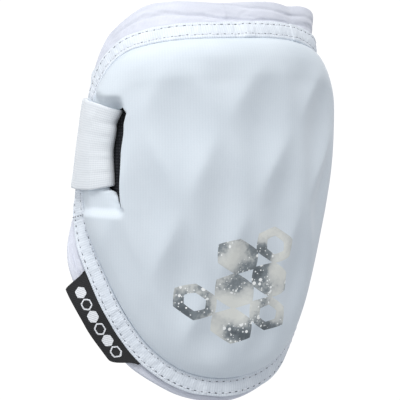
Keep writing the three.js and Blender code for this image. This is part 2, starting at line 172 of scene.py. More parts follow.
def turns(count):
    """Even angles of a full turn."""
    return np.linspace(0, 2 * math.pi, count, endpoint=False)


def looped(ids):
    """A grid of point numbers with its first column again at the end."""
    return np.hstack([ids, ids[:, :1]])


def pairs(first, second):
    """Places on a sheet from two arrays that are spread to one shape."""
    return np.stack(np.broadcast_arrays(first, second), -1)


def numbered(rows, columns):
    """A grid of point numbers."""
    return np.arange(rows * columns).reshape(rows, columns)


def unit(vectors):
    return vectors / np.linalg.norm(vectors, axis=-1, keepdims=True)


def eased(rows, place, name):
    """One column of a table at places along its first column, eased between rows."""
    key = next(iter(rows[0]))
    places = np.array([row[key] for row in rows], float)
    values = np.array([row[name] for row in rows], float)
    last = np.clip(np.searchsorted(places, place), 1, len(rows) - 1)
    share = smoothstep(place, places[last - 1], places[last])
    return lerp(values[last - 1], values[last], share)


# Wanders of the cloth round the edge: each one's seed, and its slowest and fastest waves
RIPPLES = {
    "lining": (5, 3, 9), "tape_pull": (11, 20, 60), "tape_face": (3, 40, 110), "tape_edge": (8, 15, 45),
    "inner_row": (31, 70, 190), "outer_row": (33, 70, 190), "fold": (21, 3, 14), "rim": (24, 14, 40),
}


def ripple(place, name):
    """A smooth wander of about -1 to 1 along a closed line, place running from 0 to 1."""
    seed, slowest, fastest = RIPPLES[name]
    rng = np.random.default_rng(seed)
    waves = np.arange(slowest, fastest + 1)
    phases = rng.uniform(0, 2 * math.pi, len(waves))
    sizes = rng.uniform(0.5, 1, len(waves))
    total = (sizes * np.sin(2 * math.pi * np.multiply.outer(place, waves) + phases)).sum(-1)
    return total / np.sqrt((sizes ** 2).sum())


def catmull_rom(points, closed, steps):
    """Points on the centripetal curve through the given ones, so many steps to a span."""
    p = np.asarray(points, float)
    if closed:
        before, start, end, after = np.roll(p, 1, 0), p, np.roll(p, -1, 0), np.roll(p, -2, 0)
    else:
        longer = np.vstack([2 * p[0] - p[1], p, 2 * p[-1] - p[-2]])
        before, start, end, after = longer[:-3], longer[1:-2], longer[2:-1], longer[3:]

    def span(a, b):
        return np.sqrt(np.linalg.norm(b - a, axis=-1))[:, None]

    d0, d1, d2 = span(before, start), span(start, end), span(end, after)
    leave = d1 * ((start - before) / d0 - (end - before) / (d0 + d1)) + (end - start)
    arrive = (end - start) - d1 * ((after - start) / (d1 + d2) - (after - end) / d2)
    t = evenly(steps)[None, :, None]
    s, e, l, a = start[:, None], end[:, None], leave[:, None], arrive[:, None]
    line = s + l * t + (3 * (e - s) - 2 * l - a) * t ** 2 + (2 * (s - e) + l + a) * t ** 3
    line = line.reshape(-1, p.shape[1])
    return line if closed else np.vstack([line, p[-1:]])


# The shell that the pad lies on

def shell_frame(across, height):
    """Points on the pad's inner face, with the directions across, up and out of it."""
    above = height > BOW.level
    reach = np.where(above, BOW.top, BOW.bottom) - BOW.level
    share = (height - BOW.level) / reach
    setback = np.where(above, BOW.top_setback, BOW.bottom_setback)
    depth, slope = setback * share ** 2, 2 * setback * share / reach

    opening = np.clip((height - MOUTH.start) / (MOUTH.end - MOUTH.start), 0, 1)
    growth = (MOUTH.radius - SHELL_RADIUS) * opening
    radius, widening = SHELL_RADIUS + growth * opening, 2 * growth / (MOUTH.end - MOUTH.start)

    sin, cos = np.sin(across / SHELL_RADIUS), np.cos(across / SHELL_RADIUS)
    point = np.stack([radius * sin, depth - radius * cos, height], -1)
    sideways = np.stack([cos, sin, np.zeros_like(sin)], -1)
    up = np.stack([widening * sin, slope - widening * cos, np.ones_like(sin)], -1)
    out = unit(np.cross(sideways, up))
    return point, sideways, unit(up), out


def on_shell(across, height, rise):
    across, height, rise = np.broadcast_arrays(
        np.asarray(across, float), np.asarray(height, float), np.asarray(rise, float))
    point, _, _, out = shell_frame(across, height)
    return point + out * rise[..., None]


CREASE_SPAN_STEPS = 48


def make_crease():
    """The crease as an even closed line on the sheet, clockwise from the top seen from outside."""
    right = [(row["right"], row["height"]) for row in CREASE_ROWS]
    left = [(-row["left"], row["height"]) for row in CREASE_ROWS[1:-1]]
    return catmull_rom(right + left[::-1], True, CREASE_SPAN_STEPS)


CREASE = make_crease()
CREASE_STEPS = np.linalg.norm(np.roll(CREASE, -1, 0) - CREASE, axis=1)
CREASE_LENGTH = CREASE_STEPS.sum()
CREASE_SHARES = np.concatenate([[0], np.cumsum(CREASE_STEPS)]) / CREASE_LENGTH
CREASE_TANGENTS = unit(np.roll(CREASE, -1, 0) - np.roll(CREASE, 1, 0))


def crease_at(share):
    """Points and directions of the crease at shares of the way round."""
    share = np.mod(share, 1)

    def along(values):
        looped = np.vstack([values, values[:1]])
        return np.stack([np.interp(share, CREASE_SHARES, looped[:, k]) for k in (0, 1)], -1)

    return along(CREASE), unit(along(CREASE_TANGENTS))


def inset_crease(share, inset):
    place, tangent = crease_at(share)
    return place + inset * np.stack([tangent[..., 1], -tangent[..., 0]], -1)


def inside_crease(places):
    """The distance on the sheet from each place to the crease."""
    line = CREASE[::2]
    step = np.roll(line, -1, 0) - line
    best = np.empty(len(places))
    for block in np.array_split(np.arange(len(places)), max(1, len(places) // 2000)):
        offset = places[block, None] - line[None]
        along = np.clip((offset * step).sum(-1) / (step ** 2).sum(-1), 0, 1)
        best[block] = np.linalg.norm(offset - along[..., None] * step, axis=-1).min(1)
    return best


def slot_width(height):
    """The middle and half width of the slot at heights, drawn to a point at its two ends."""
    near, far = eased(SLOT_ROWS, height, "near"), eased(SLOT_ROWS, height, "far")
    low = np.clip((height - SLOT_END.low) / SLOT_END.taper_low, 0, 1)
    high = np.clip((SLOT_END.high - height) / SLOT_END.taper_high, 0, 1)
    return (near + far) / 2, (far - near) / 2 * np.sqrt(low * high)


def dimple_at(across, height):
    """How far a dimple sinks at a place, from 0 on the crests to about 1 in its middle."""
    above = height - DIMPLE.level
    row = above / DIMPLE.row
    middle = DIMPLE.across + DIMPLE.lean * above
    width = np.maximum(DIMPLE.narrowest, DIMPLE.width + DIMPLE.fan * above)
    sideways = (across - middle) / width

    def hollow(phase):
        return np.hypot(np.sin(math.pi * phase), DIMPLE.crest) - DIMPLE.crest

    return hollow(sideways - row / 2) * hollow(sideways + row / 2)


def channel_floor(across, height, inside):
    """The channel's floor: it runs out at the crease, and the bridge is rounded off to the slot."""
    floor = lerp(PAD.edge_rise, CHANNEL.floor_rise, smoothstep(inside, 0, CHANNEL.run_out))
    low, high = SLOT_ROWS[0]["height"], SLOT_ROWS[-1]["height"]
    above_low = smoothstep(height, low, low + BRIDGE.fade)
    below_high = 1 - smoothstep(height, high, high + BRIDGE.fade)
    past = -across - eased(SLOT_ROWS, height, "far")
    short = 1 - np.clip(past / BRIDGE.reach, 0, 1)
    rounding = (CHANNEL.floor_rise - BRIDGE.nose_rise) * (1 - np.sqrt(1 - short ** 2))
    return floor - rounding * above_low * below_high


def pad_rise(places, inside):
    """The pad's outer face: a shoulder that rises from the crease, dimples between narrow crests,
    a channel on the left that seats the strap, and soft lips at the slot."""
    across, height = places[:, 0], places[:, 1]
    level = smoothstep(height, PAD.thinnest, PAD.thin_below)
    right = smoothstep(across, PAD.right_from, PAD.right_to)
    sloping = right * (1 - smoothstep(height, PAD.right_full, PAD.right_below))
    shoulder = lerp(PAD.shoulder_bottom, PAD.shoulder_top, level) + PAD.right_shoulder * sloping
    shoulder = shoulder + PAD.top_shoulder * smoothstep(height, PAD.top_from, PAD.top_to)
    crown = lerp(PAD.crown_bottom, PAD.crown_top, level)
    run = 1 - np.clip(inside / shoulder, 0, 1)
    dome = PAD.edge_rise + (crown - PAD.edge_rise) * np.sqrt(1 - run ** 2)
    fade = smoothstep(inside, DIMPLE.fade_from, DIMPLE.fade_to)
    face = dome - DIMPLE.depth * dimple_at(across, height) * fade

    high = lerp(CHANNEL.high_at_edge, CHANNEL.high, np.clip(inside / CHANNEL.run_out, 0, 1))
    below_top = 1 - smoothstep(height, high - CHANNEL.top_wall, high)
    in_height = below_top * smoothstep(height, CHANNEL.low, CHANNEL.low + CHANNEL.low_wall)
    seat = eased(SLOT_ROWS, height, "seat")
    in_side = smoothstep(-across, seat, seat + CHANNEL.side_wall)
    floor = channel_floor(across, height, inside)
    rise = lerp(face, np.minimum(face, floor), in_height * in_side)

    level = np.clip(height, SLOT_END.low, SLOT_END.high)
    middle, half = slot_width(level)
    beside = np.maximum(np.abs(-across - middle) - half, 0)
    to_slot = np.hypot(beside, height - level)
    lip = np.where(-across > middle, SLOT_END.far_lip, SLOT_END.near_lip)
    rise = rise - lip + np.sqrt(lip ** 2 - (lip - np.minimum(to_slot, lip)) ** 2)
    return rise - TUCK_SLOPE * np.maximum(0, -inside)


# Pieces from points and faces

def new_object(name, data):
    made = bpy.data.objects.new(name, data)
    bpy.context.scene.collection.objects.link(made)
    return made


def new_piece(name, points, faces, material, sheet=None):
    """A smooth mesh from points in millimetres, with a sheet place in millimetres for each."""
    mesh = bpy.data.meshes.new(name)
    mesh.from_pydata((np.reshape(points, (-1, 3)) * MM).tolist(), [], [list(map(int, f)) for f in faces])
    work = bmesh.new()
    work.from_mesh(mesh)
    bmesh.ops.recalc_face_normals(work, faces=work.faces)
    work.to_mesh(mesh)
    work.free()
    if sheet is not None:
        layer = mesh.uv_layers.new(name="sheet")
        corners = np.empty(len(mesh.loops), int)
        mesh.loops.foreach_get("vertex_index", corners)
        layer.data.foreach_set("uv", np.reshape(sheet, (-1, 2)).astype(np.float32)[corners].ravel())
    mesh.polygons.foreach_set("use_smooth", np.ones(len(mesh.polygons), bool))
    mesh.materials.append(material)
    mesh.update()
    return new_object(name, mesh)


def grid_faces(ids):
    """Quads between neighbours of a grid of point numbers."""
    return np.stack([ids[:-1, :-1], ids[:-1, 1:], ids[1:, 1:], ids[1:, :-1]], -1).reshape(-1, 4)


def ring_faces(stations, section):
    """Quads of a ring swept through so many stations, each with a closed section."""
    ids = numbered(stations, section)
    ids = np.vstack([ids, ids[:1]])
    return grid_faces(looped(ids))


def closed_wall(front, back):
    """Points and quads of a closed wall between two matching grids of points."""
    rows, columns = front.shape[:2]
    ids = numbered(rows, columns)
    other = ids + rows * columns
    rim = np.concatenate([ids[0, :-1], ids[:-1, -1], ids[-1, :0:-1], ids[:0:-1, 0]])
    rim = np.append(rim, rim[0])
    sides = grid_faces(np.stack([rim, rim + rows * columns]))
    points = np.concatenate([front.reshape(-1, 3), back.reshape(-1, 3)])
    return points, np.concatenate([grid_faces(ids), grid_faces(other[:, ::-1]), sides])


# The pad's skin

PAD_INSETS = [-0.7, -0.3, 0, 0.3, 0.8, 1.6, 2.7, 4.2, 6]
TUCK_SLOPE = 1.6  # how steeply the skin goes down under the tape past the crease
PAD_STEP = Sizes(across=0.95, up=0.95, at_slot=0.35, slot_band=2.5)
PATCH_CORNERS = Sizes(right_top=0.117, right_low=0.382, left_low=0.618, left_top=0.883)
PATCH_HEIGHT = 142
# The level where the slit's column is found, how far to its sides the sheet gives way to it, and how
# far past its ends
SLIT = Sizes(level=28.0, play=9, ease=10)
LIP_LEVELS = 5
SHADE_FACING = Sizes(start=0.1, off=0.12, share=0.3, levels=5)  # the dark cloth turned into the slot, painted shade that keeps the slot dark


def slit_columns(left, right):
    """Shares across the patch, closer together beside the slot."""
    middle = slot_width(np.array(SLIT.level))[0]
    places = [left]
    while places[-1] < right:
        finer = bell(-places[-1], middle, PAD_STEP.slot_band)
        places.append(places[-1] + lerp(PAD_STEP.across, PAD_STEP.at_slot, finer))
    places = np.array(places)
    return (places - left) / (places[-1] - left)


def pad_patch():
    """A grid of places that fills the crease inside its rings, and the shares of the rings."""
    corner = PATCH_CORNERS
    inner = PAD_INSETS[-1]
    ends = inset_crease(np.array([0.75, 0.25]), inner)
    u = slit_columns(ends[0, 0], ends[1, 0])
    v = np.linspace(0, 1, int(PATCH_HEIGHT / PAD_STEP.up))
    shares = {
        "left": lerp(corner.left_low, corner.left_top, v),
        "top": lerp(corner.left_top, corner.right_top + 1, u),
        "right": lerp(corner.right_low + 1, corner.right_top + 1, v),
        "low": lerp(corner.left_low + 1, corner.right_low + 1, u),
    }
    edge = {name: inset_crease(share, inner) for name, share in shares.items()}
    U, V = u[None, :, None], v[:, None, None]
    rows = lerp(edge["low"][None], edge["top"][None], V)
    sides = lerp(edge["left"][:, None], edge["right"][:, None], U)
    low = lerp(edge["low"][0], edge["low"][-1], U)
    top = lerp(edge["top"][0], edge["top"][-1], U)
    around = np.concatenate([
        shares["left"][:-1], shares["top"][:-1], shares["right"][:0:-1], shares["low"][:0:-1]])
    return rows + sides - lerp(low, top, V), around


def open_slit(patch):
    """Moves the patch's columns aside for the slot. Returns its column, the rows it opens and the
    places on its far side."""
    level = np.argmin(np.abs(patch[:, patch.shape[1] // 2, 1] - SLIT.level))
    middle = slot_width(np.array(SLIT.level))[0]
    column = int(np.argmin(np.abs(patch[level, :, 0] + middle)))
    height = patch[:, :, 1]
    own = patch[:, column:column + 1, 0].copy()
    give = 1 - smoothstep(np.abs(patch[:, :, 0] - own), 0, SLIT.play)
    middle, half = slot_width(height)
    near_ends = smoothstep(height, SLOT_END.low - SLIT.ease, SLOT_END.low)
    above = smoothstep(height, SLOT_END.high, SLOT_END.high + SLIT.ease)
    near_ends = near_ends * (1 - above)
    patch[:, :, 0] -= (middle + own) * give * near_ends
    beyond = patch[:, :, 0] < patch[:, column:column + 1, 0]
    opening = half * give
    far = patch[:, column].copy()
    far[:, 0] -= opening[:, column]
    patch[:, :, 0] += np.where(beyond, -opening, opening)
    opened = np.flatnonzero(half[:, column] > 0)
    return column, opened, far


def pocket_rise(places):
    """How far the inner face stands back under the bridge, for the strap's end."""
    past = -places[:, 0] - eased(SLOT_ROWS, places[:, 1], "far")
    height, ease = places[:, 1], POCKET.ease
    inside = smoothstep(past, -ease, -POCKET.edge)
    inside = inside * (1 - smoothstep(past, POCKET.depth, POCKET.depth + ease))
    inside = inside * smoothstep(height, POCKET.low - ease, POCKET.low)
    return POCKET.rise * inside * (1 - smoothstep(height, POCKET.high, POCKET.high + ease))


def make_shade_facing(places, outer, inner, material):
    """The dark cloth that covers the slot's wall from below its lip, painted shade that keeps the slot
    dark, from the wall's places and its points on the pad's two faces."""
    middle, half = slot_width(places[:, 1])
    off = np.where(-places[:, 0] > middle, 1, -1) * np.minimum(SHADE_FACING.off, half * SHADE_FACING.share)
    shift = shell_frame(places[:, 0], places[:, 1])[1] * off[:, None]
    # the dark cloth starts just below the lip: painted shade down the slot's wall
    shares = np.linspace(SHADE_FACING.start, 1, SHADE_FACING.levels)
    points = np.stack([lerp(outer, inner, share) + shift for share in shares])
    sheet = np.stack([places + [0, share] for share in shares])
    ids = numbered(*points.shape[:2])
    faces = grid_faces(looped(ids))
    return new_piece("slot_shade_facing", points, faces, material, sheet)


def make_pad(material, dark):
    patch, around = pad_patch()
    column, opened, far = open_slit(patch)
    rows, columns = patch.shape[:2]

    places = [inset_crease(around, inset) for inset in PAD_INSETS[:-1]]
    first = sum(len(ring) for ring in places)
    ids = first + numbered(rows, columns)
    edge = np.concatenate([ids[:-1, 0], ids[-1, :-1], ids[:0:-1, -1], ids[0, :0:-1]])

    # the slot splits its column into a near and a far copy
    quads = grid_faces(ids)
    copies = first + rows * columns + np.arange(len(opened))
    swap = dict(zip(ids[opened, column], copies))
    touches = np.isin(quads, ids[:, :column]).any(1) & np.isin(quads, ids[opened, column]).any(1)
    quads[touches] = np.vectorize(lambda k: swap.get(k, k))(quads[touches])
    ends = ids[[opened[0] - 1, opened[-1] + 1], column]
    loop = np.concatenate([ends[:1], ids[opened, column], ends[1:], copies[::-1]])
    places = np.concatenate(places + [patch.reshape(-1, 2), far[opened]])

    count = len(around)
    rings = [np.arange(count) + k * count for k in range(len(PAD_INSETS) - 1)] + [edge]
    bands = np.stack([np.append(ring, ring[0]) for ring in rings])
    quads = np.concatenate([quads, grid_faces(bands[:, ::-1])])

    inside = inside_crease(places)
    for k, inset in enumerate(PAD_INSETS[:-1]):
        inside[k * count:(k + 1) * count] = inset
    outer = on_shell(places[:, 0], places[:, 1], pad_rise(places, inside))
    inner = on_shell(places[:, 0], places[:, 1], pocket_rise(places))

    points, sheet = [outer, inner], [places, places]
    total = len(places)
    levels = [loop]
    for k in range(1, LIP_LEVELS):
        share = k / LIP_LEVELS
        points.append(lerp(outer[loop], inner[loop], share))
        sheet.append(places[loop] + [0, share])
        levels.append(2 * total + (k - 1) * len(loop) + np.arange(len(loop)))
    levels.append(loop + total)
    lip = grid_faces(np.stack([np.append(level, level[0]) for level in levels]))
    rim = grid_faces(np.stack([bands[0], bands[0] + total]))
    faces = np.concatenate([quads, quads[:, ::-1] + total, rim, lip])
    made = new_piece("pad_skin", np.concatenate(points), faces, material, np.concatenate(sheet))
    return made, make_shade_facing(places[loop], outer[loop], inner[loop], dark)


# The black lining behind the pad

# Rings from the edge to the middle: the step near the edge, how much coarser it is past the edge's
# band, and how far the rings go
LINING_LOOK = Sizes(step=2.2, band=8, coarser=1.6, reach=52, middle=(0, 8), ripple=0.18)


def make_lining(material):
    step, band, reach = LINING_LOOK.step, LINING_LOOK.band, LINING_LOOK.reach
    rings = np.concatenate([np.arange(0, band, step), np.arange(band, reach, step * LINING_LOOK.coarser)])
    around = evenly(int(CREASE_LENGTH / step))
    outline = inset_crease(around, LINING.inset)
    middle = np.array(LINING_LOOK.middle, float)
    shares = 1 - rings / reach
    places = np.stack([lerp(middle, outline, share) for share in shares])
    # the ripples are fullest halfway in
    fullness = (1 - shares[:, None]) * shares[:, None] * 4
    ripples = LINING_LOOK.ripple * ripple(around, "lining")[None] * fullness

    def face(rise):
        return on_shell(places[..., 0], places[..., 1], rise + ripples)

    front, back = face(-GAP), face(-GAP - LINING.thickness)
    rows, count = front.shape[:2]
    ids = numbered(rows, count)
    closed = looped(ids)
    total = rows * count
    points = np.concatenate([
        front.reshape(-1, 3), back.reshape(-1, 3),
        [on_shell(*middle, -GAP), on_shell(*middle, -GAP - LINING.thickness)]])
    faces = np.concatenate([
        grid_faces(closed), grid_faces(closed[::-1]) + total,
        grid_faces(np.stack([closed[0], closed[0] + total]))]).tolist()
    inmost = closed[-1]
    for a, b in zip(inmost[:-1], inmost[1:]):
        faces.append([a, b, 2 * total])
        faces.append([b + total, a + total, 2 * total + 1])
    sheet = np.concatenate([places.reshape(-1, 2), places.reshape(-1, 2), [middle, middle]])
    return new_piece("lining_cloth", points, faces, material, sheet)


# The sewn flange: tape, rim, stitches and label

def flange(share):
    """Stations of the sewn flange at shares of the way round the crease."""
    share = np.mod(np.asarray(share, float), 1)
    foot, tangent = crease_at(share)
    point, sideways, up, out = shell_frame(foot[:, 0], foot[:, 1])
    along = 1 - np.abs(1 - 2 * share)

    def pick(name):
        left, right = (eased(FLANGE_ROWS, along, f"{side}_{name}") for side in ("left", "right"))
        return np.where(share > 0.5, left, right)

    flare = np.radians(pick("flare"))
    away = unit(sideways * -tangent[:, 1:] + up * tangent[:, :1])
    sin, cos = np.sin(flare)[:, None], np.cos(flare)[:, None]
    start = (GAP + TAPE.thickness * np.maximum(0, np.sin(flare))) / np.cos(flare)
    return {
        "share": share, "point": point, "outward": cos * away + sin * out,
        "lift": cos * out - sin * away, "margin": pick("margin"), "start": start,
    }


def on_flange(station, reach, height):
    """Points past the crease by a reach and off the flange by a height, both station by place."""
    reach, height = np.broadcast_arrays(reach, height)
    return (station["point"][:, None] + station["outward"][:, None] * reach[..., None]
            + station["lift"][:, None] * height[..., None])


TAPE_LOOK = Sizes(
    stations=1300, furrow=0.22, furrow_width=0.7, slack=0.25, edge=0.45, wave=0.07, pucker=0.09,
    pucker_width=1.1, under=0.05, edge_wave=0.12,
)
# The tape's two rows of stitches: where they run, how far past them the cloth puckers, and half the
# length and width of the dark disc of painted shade at the needle hole between stitches
SEAMS = table(
    "name reach pucker hole",
    ("inner_row", 2.0, 1.4, (0.5, 0.2)),
    ("outer_row", 6.8, -1.2, (0.64, 0.27)),
)
TAPE_ACROSS = np.concatenate([[0, 0.012, 0.04, 0.09], np.linspace(0.15, 0.85, 19), [0.91, 0.96, 0.988, 1]])
TAPE_UNDER = np.array([1, 0.66, 0.33, 0])
STITCH = Sizes(pitch=3.1, length=2.2, radius=0.24, corners=6, drift=0.07, uneven=(0.9, 1.1))
# Places along a stitch, as shares of its length: how far they stand off the tape, and the share of
# the thread's thickness there
STITCH_ROWS = table(
    "along rise thickness",
    (-0.5, -0.3, 0.35),
    (-0.28, 0.02, 1),
    (0, 0.12, 1),
    (0.28, 0.02, 1),
    (0.5, -0.3, 0.35),
)
STITCH_PLACES = {name: np.array([row[name] for row in STITCH_ROWS]) for name in STITCH_ROWS[0]}
# the painted shade of a needle hole, a dark disc just off the tape: its corners, its height off the tape
# and how its size varies
HOLE_SHADE = Sizes(corners=10, film=0.03, uneven=(0.8, 1.2))
CROSS_ROW = Sizes(start=1.2, to=7.6, count=5)  # the painted shades of the holes across a sewn lap
EDGE_STEPS = 3001
STITCH_SEED = 4


def left_share(height):
    """The share of the crease at a height on its left side."""
    left = CREASE_SHARES[:-1] > 0.5
    return float(np.interp(height, CREASE[left, 1], CREASE_SHARES[:-1][left]))


# Places round the crease where the tape's ends lap: where the upper layer starts and ends, and
# whether a cross row is sewn through it
LAPS = table(
    "from to sewn",
    (left_share(1.4), left_share(9), True),
    (0.0085, 0.022, False),
    (0.066, 0.08, False),
)
LAP = Sizes(lift=0.4, step=0.0006, run_out=0.004)
# Where the tape is folded and stands out on the left
TAB = Sizes(height=56.5, out=2.4, width=0.007)
SEAM_INSET = 0.0022  # the lap's cross row from its end, as a share of the crease


def tape_top(station, reach):
    """How far the tape's face stands off the flange, at reaches given station by place."""
    start = station["start"][:, None]
    share = station["share"][:, None]
    middle, half = (start + TAPE.width) / 2, (TAPE.width - start) / 2
    side = np.clip(np.abs(reach - middle) / half, 0, 1)
    top = TAPE.thickness + TAPE.crown * (1 - side ** 2)
    slack = TAPE_LOOK.slack
    pull = 1 - slack + slack * ripple(share, "tape_pull")
    for row in SEAMS:
        top = top - TAPE_LOOK.furrow * pull * bell(reach, row["reach"], TAPE_LOOK.furrow_width)
    top = top + TAPE_LOOK.wave * ripple(share, "tape_face") * (1 - side ** 4)
    for row in SEAMS:
        puckered = bell(reach, row["reach"] + row["pucker"], TAPE_LOOK.pucker_width)
        top = top + TAPE_LOOK.pucker * ripple(share, row["name"]) * puckered
    for lap in LAPS:
        inside = smoothstep(share, lap["from"] - LAP.step, lap["from"] + LAP.step)
        top = top + LAP.lift * inside * (1 - smoothstep(share, lap["to"] - LAP.run_out, lap["to"]))
    return top


def make_tape(material):
    share = evenly(TAPE_LOOK.stations)
    station = flange(share)
    start = station["start"][:, None]
    outer = TAPE.width + TAPE_LOOK.edge_wave * ripple(share, "tape_edge")
    outer = outer + TAB.out * bell(share, left_share(TAB.height), TAB.width)
    reach = lerp(start, outer[:, None], TAPE_ACROSS[None])
    top = tape_top(station, reach)
    from_edge = np.minimum(reach - start, reach[:, -1:] - reach)
    soft = np.clip(from_edge / TAPE_LOOK.edge, 0, 1)
    top = top - TAPE_LOOK.edge * (1 - np.sqrt(1 - (1 - soft) ** 2))
    face = on_flange(station, reach, top)
    under_reach = lerp(start, reach[:, -1:], TAPE_UNDER[None])
    under = on_flange(station, under_reach, np.full(under_reach.shape, TAPE_LOOK.under))
    points = np.concatenate([face, under], 1)
    length = share[:, None] * CREASE_LENGTH
    sheet = pairs(length, np.concatenate([reach, under_reach], 1))
    faces = ring_faces(*points.shape[:2])
    return new_piece("edge_tape_band", points, faces, material, sheet)


RIM_LOOK = Sizes(
    stations=400, columns=22, hem_steps=9, low_columns=9, under_tape=0.9, full_margin=10, largest=1.1,
    puff=0.25, crease=0.8, crease_width=0.075, wander=0.02, ridge=0.45, ridge_before=0.16, ridge_width=0.08,
    second=0.5, second_width=0.9, wrinkle=0.04,
)
# The liner's folds by place round the edge, from the top (0) down the left (to -1) and the right
# (to 1): where they lie across the bare rim, from the tape (0) to its edge (1), and how deep
FOLD_ROWS = table(
    "round first first_depth second second_depth",
    (-0.9, 0.5, 0.2, 0.8, 0.2),
    (-0.68, 0.42, 0.8, 0.75, 0.9),
    (-0.4, 0.5, 0.1, 0.8, 0.1),
    (-0.22, 0.55, 0.6, 0.82, 0.7),
    (-0.13, 0.48, 0.9, 0.84, 0.7),
    (-0.06, 0.38, 1.1, 0.88, 0.5),
    (0.0, 0.24, 1.0, 0.86, 0.8),
    (0.06, 0.16, 0.6, 0.66, 1.0),
    (0.14, 0.14, 0.3, 0.5, 0.9),
    (0.3, 0.4, 0.5, 0.8, 0.3),
    (0.9, 0.5, 0.2, 0.8, 0.2),
)
# How the rim is blown up: what each point may move, in millimetres, by where it is, and how near the
# tape or a deep fold a point is held
PUFF = Sizes(
    frames=20, cap=0.8, least_cap=0.15, cap_at_strap=0.2, cap_below=0.3, by_strap=4, sewn=0.02,
    fold_half=0.03, deep_fold=0.3,
)
CLOTH = {
    "quality": 6, "mass": 0.06, "tension_stiffness": 15, "compression_stiffness": 15, "shear_stiffness": 5,
    "bending_stiffness": 1.0, "use_pressure": True, "uniform_pressure_force": 3.0, "shrink_min": -0.008,
}


def puff_up(piece, held, cap):
    """Blows a closed piece up as cloth, held where it is sewn, and keeps what each point moved, up
    to its cap in millimetres."""
    scene = bpy.context.scene
    count = len(piece.data.vertices)
    rest = np.empty(count * 3)
    piece.data.vertices.foreach_get("co", rest)
    group = piece.vertex_groups.new(name="held")
    group.add([int(k) for k in np.flatnonzero(held)], 1.0, "REPLACE")
    cloth = piece.modifiers.new("puff", "CLOTH")
    settings = cloth.settings
    for name, value in CLOTH.items():
        setattr(settings, name, value)
    settings.vertex_group_mass = group.name
    settings.effector_weights.gravity = 0
    cloth.point_cache.frame_start = 1
    cloth.point_cache.frame_end = PUFF.frames
    for moment in range(1, PUFF.frames + 1):
        scene.frame_set(moment)
    shown = piece.evaluated_get(bpy.context.evaluated_depsgraph_get())
    moved = np.empty(count * 3)
    shown.data.vertices.foreach_get("co", moved)
    piece.modifiers.remove(cloth)
    piece.vertex_groups.remove(group)
    scene.frame_set(1)
    step = (moved - rest).reshape(-1, 3)
    length = np.maximum(np.linalg.norm(step, axis=1), 1e-9)
    step = step * np.minimum(1, cap * MM / length)[:, None]
    piece.data.vertices.foreach_set("co", rest + step.ravel())
    piece.data.update()


def subdivide(piece):
    """One subdivision, applied."""
    piece.modifiers.new("finer", "SUBSURF").levels = 1
    shown = piece.evaluated_get(bpy.context.evaluated_depsgraph_get())
    finer = bpy.data.meshes.new_from_object(shown)
    piece.modifiers.clear()
    finer.name = piece.data.name
    piece.data = finer


def make_rim(material):
    """The padded liner past the tape: a soft band with long folds and a rolled hem."""
    share = evenly(RIM_LOOK.stations)
    station = flange(share)
    start = station["start"][:, None] + RIM.start
    margin = station["margin"][:, None]
    outer = TAPE.width + margin
    shown = np.linspace(0, 1, RIM_LOOK.columns)[None]
    hidden = TAPE.width - RIM_LOOK.under_tape
    bare = margin + RIM_LOOK.under_tape - RIM.round
    reach = np.concatenate([start + (hidden - start) * np.array([[0, 0.5]]), hidden + bare * shown], 1)
    past = np.clip((reach - TAPE.width) / margin, -0.2, 1)
    size = np.clip(margin / RIM_LOOK.full_margin, 0, RIM_LOOK.largest)
    round_edge = np.where(share > 0.5, -2 * (1 - share), 2 * share)
    fold = {name: eased(FOLD_ROWS, round_edge, name)[:, None] for name in list(FOLD_ROWS[0])[1:]}
    wander = RIM_LOOK.wander * ripple(share, "fold")[:, None]
    width = RIM_LOOK.crease_width
    hump = np.sin(math.pi * np.clip(past, 0, 1))
    top = RIM_LOOK.puff * hump * size
    first = RIM_LOOK.crease * fold["first_depth"] * size
    line = fold["first"] + wander
    top = top - first * bell(past, line, width)
    ridge = bell(past, line - RIM_LOOK.ridge_before, RIM_LOOK.ridge_width)
    top = top + RIM_LOOK.ridge * first * ridge
    second = RIM_LOOK.second * fold["second_depth"] * size
    top = top - second * bell(past, fold["second"] - wander, width * RIM_LOOK.second_width)
    top = top + RIM_LOOK.wrinkle * size * ripple(share, "rim")[:, None] * hump
    top_face = on_flange(station, reach, top - RIM.drop)

    turn = np.linspace(90, -90, RIM_LOOK.hem_steps)[None, 1:-1]
    radius = RIM.thickness / 2
    edge_reach = outer - RIM.round + RIM.round * np.cos(np.radians(turn))
    edge_height = -RIM.drop - radius + radius * np.sin(np.radians(turn)) + 0 * outer
    edge = on_flange(station, edge_reach, edge_height)
    low_shares = np.linspace(0, 1, RIM_LOOK.low_columns)
    low_reach = lerp(outer - RIM.round, start, low_shares[None])
    low = on_flange(station, low_reach, np.full(low_reach.shape, -RIM.drop - RIM.thickness))
    points = np.concatenate([top_face, edge, low], 1)
    reaches = np.concatenate([reach, edge_reach, low_reach], 1)
    sheet = pairs(share[:, None] * CREASE_LENGTH, reaches)
    faces = ring_faces(*points.shape[:2])
    made = new_piece("liner_rim_roll", points, faces, material, sheet)

    low_past = np.clip((low_reach - TAPE.width) / margin, -1, 1)
    place = np.concatenate([past, np.ones_like(edge_reach), low_past], 1)
    in_fold = np.abs(past - fold["first"] - wander) < PUFF.fold_half
    held = place < PUFF.sewn
    held[:, :past.shape[1]] |= in_fold & (first > PUFF.deep_fold)
    held[:, -low_reach.shape[1]:] |= low_reach < TAPE.width
    cap = np.full(points.shape[:2], PUFF.cap) * np.clip(size, PUFF.least_cap, 1)
    cap[:, -low_reach.shape[1]:] = PUFF.cap_below
    level = station["point"][:, 2]
    above, below = level > STRAP.low - PUFF.by_strap, level < STRAP.high + PUFF.by_strap
    by_strap = above & below
    cap[by_strap] = np.minimum(cap[by_strap], PUFF.cap_at_strap)
    puff_up(made, held.ravel(), cap.ravel())
    subdivide(made)
    return made


def tube(line, side, up, radius):
    """Points of a thread along a line, one ring for each of its points, its ends drawn in."""
    turn = turns(STITCH.corners)
    ring = np.cos(turn)[:, None] * side[:, None] + np.sin(turn)[:, None] * up[:, None]
    return line[:, None] + ring * radius * STITCH_PLACES["thickness"][:, None, None]


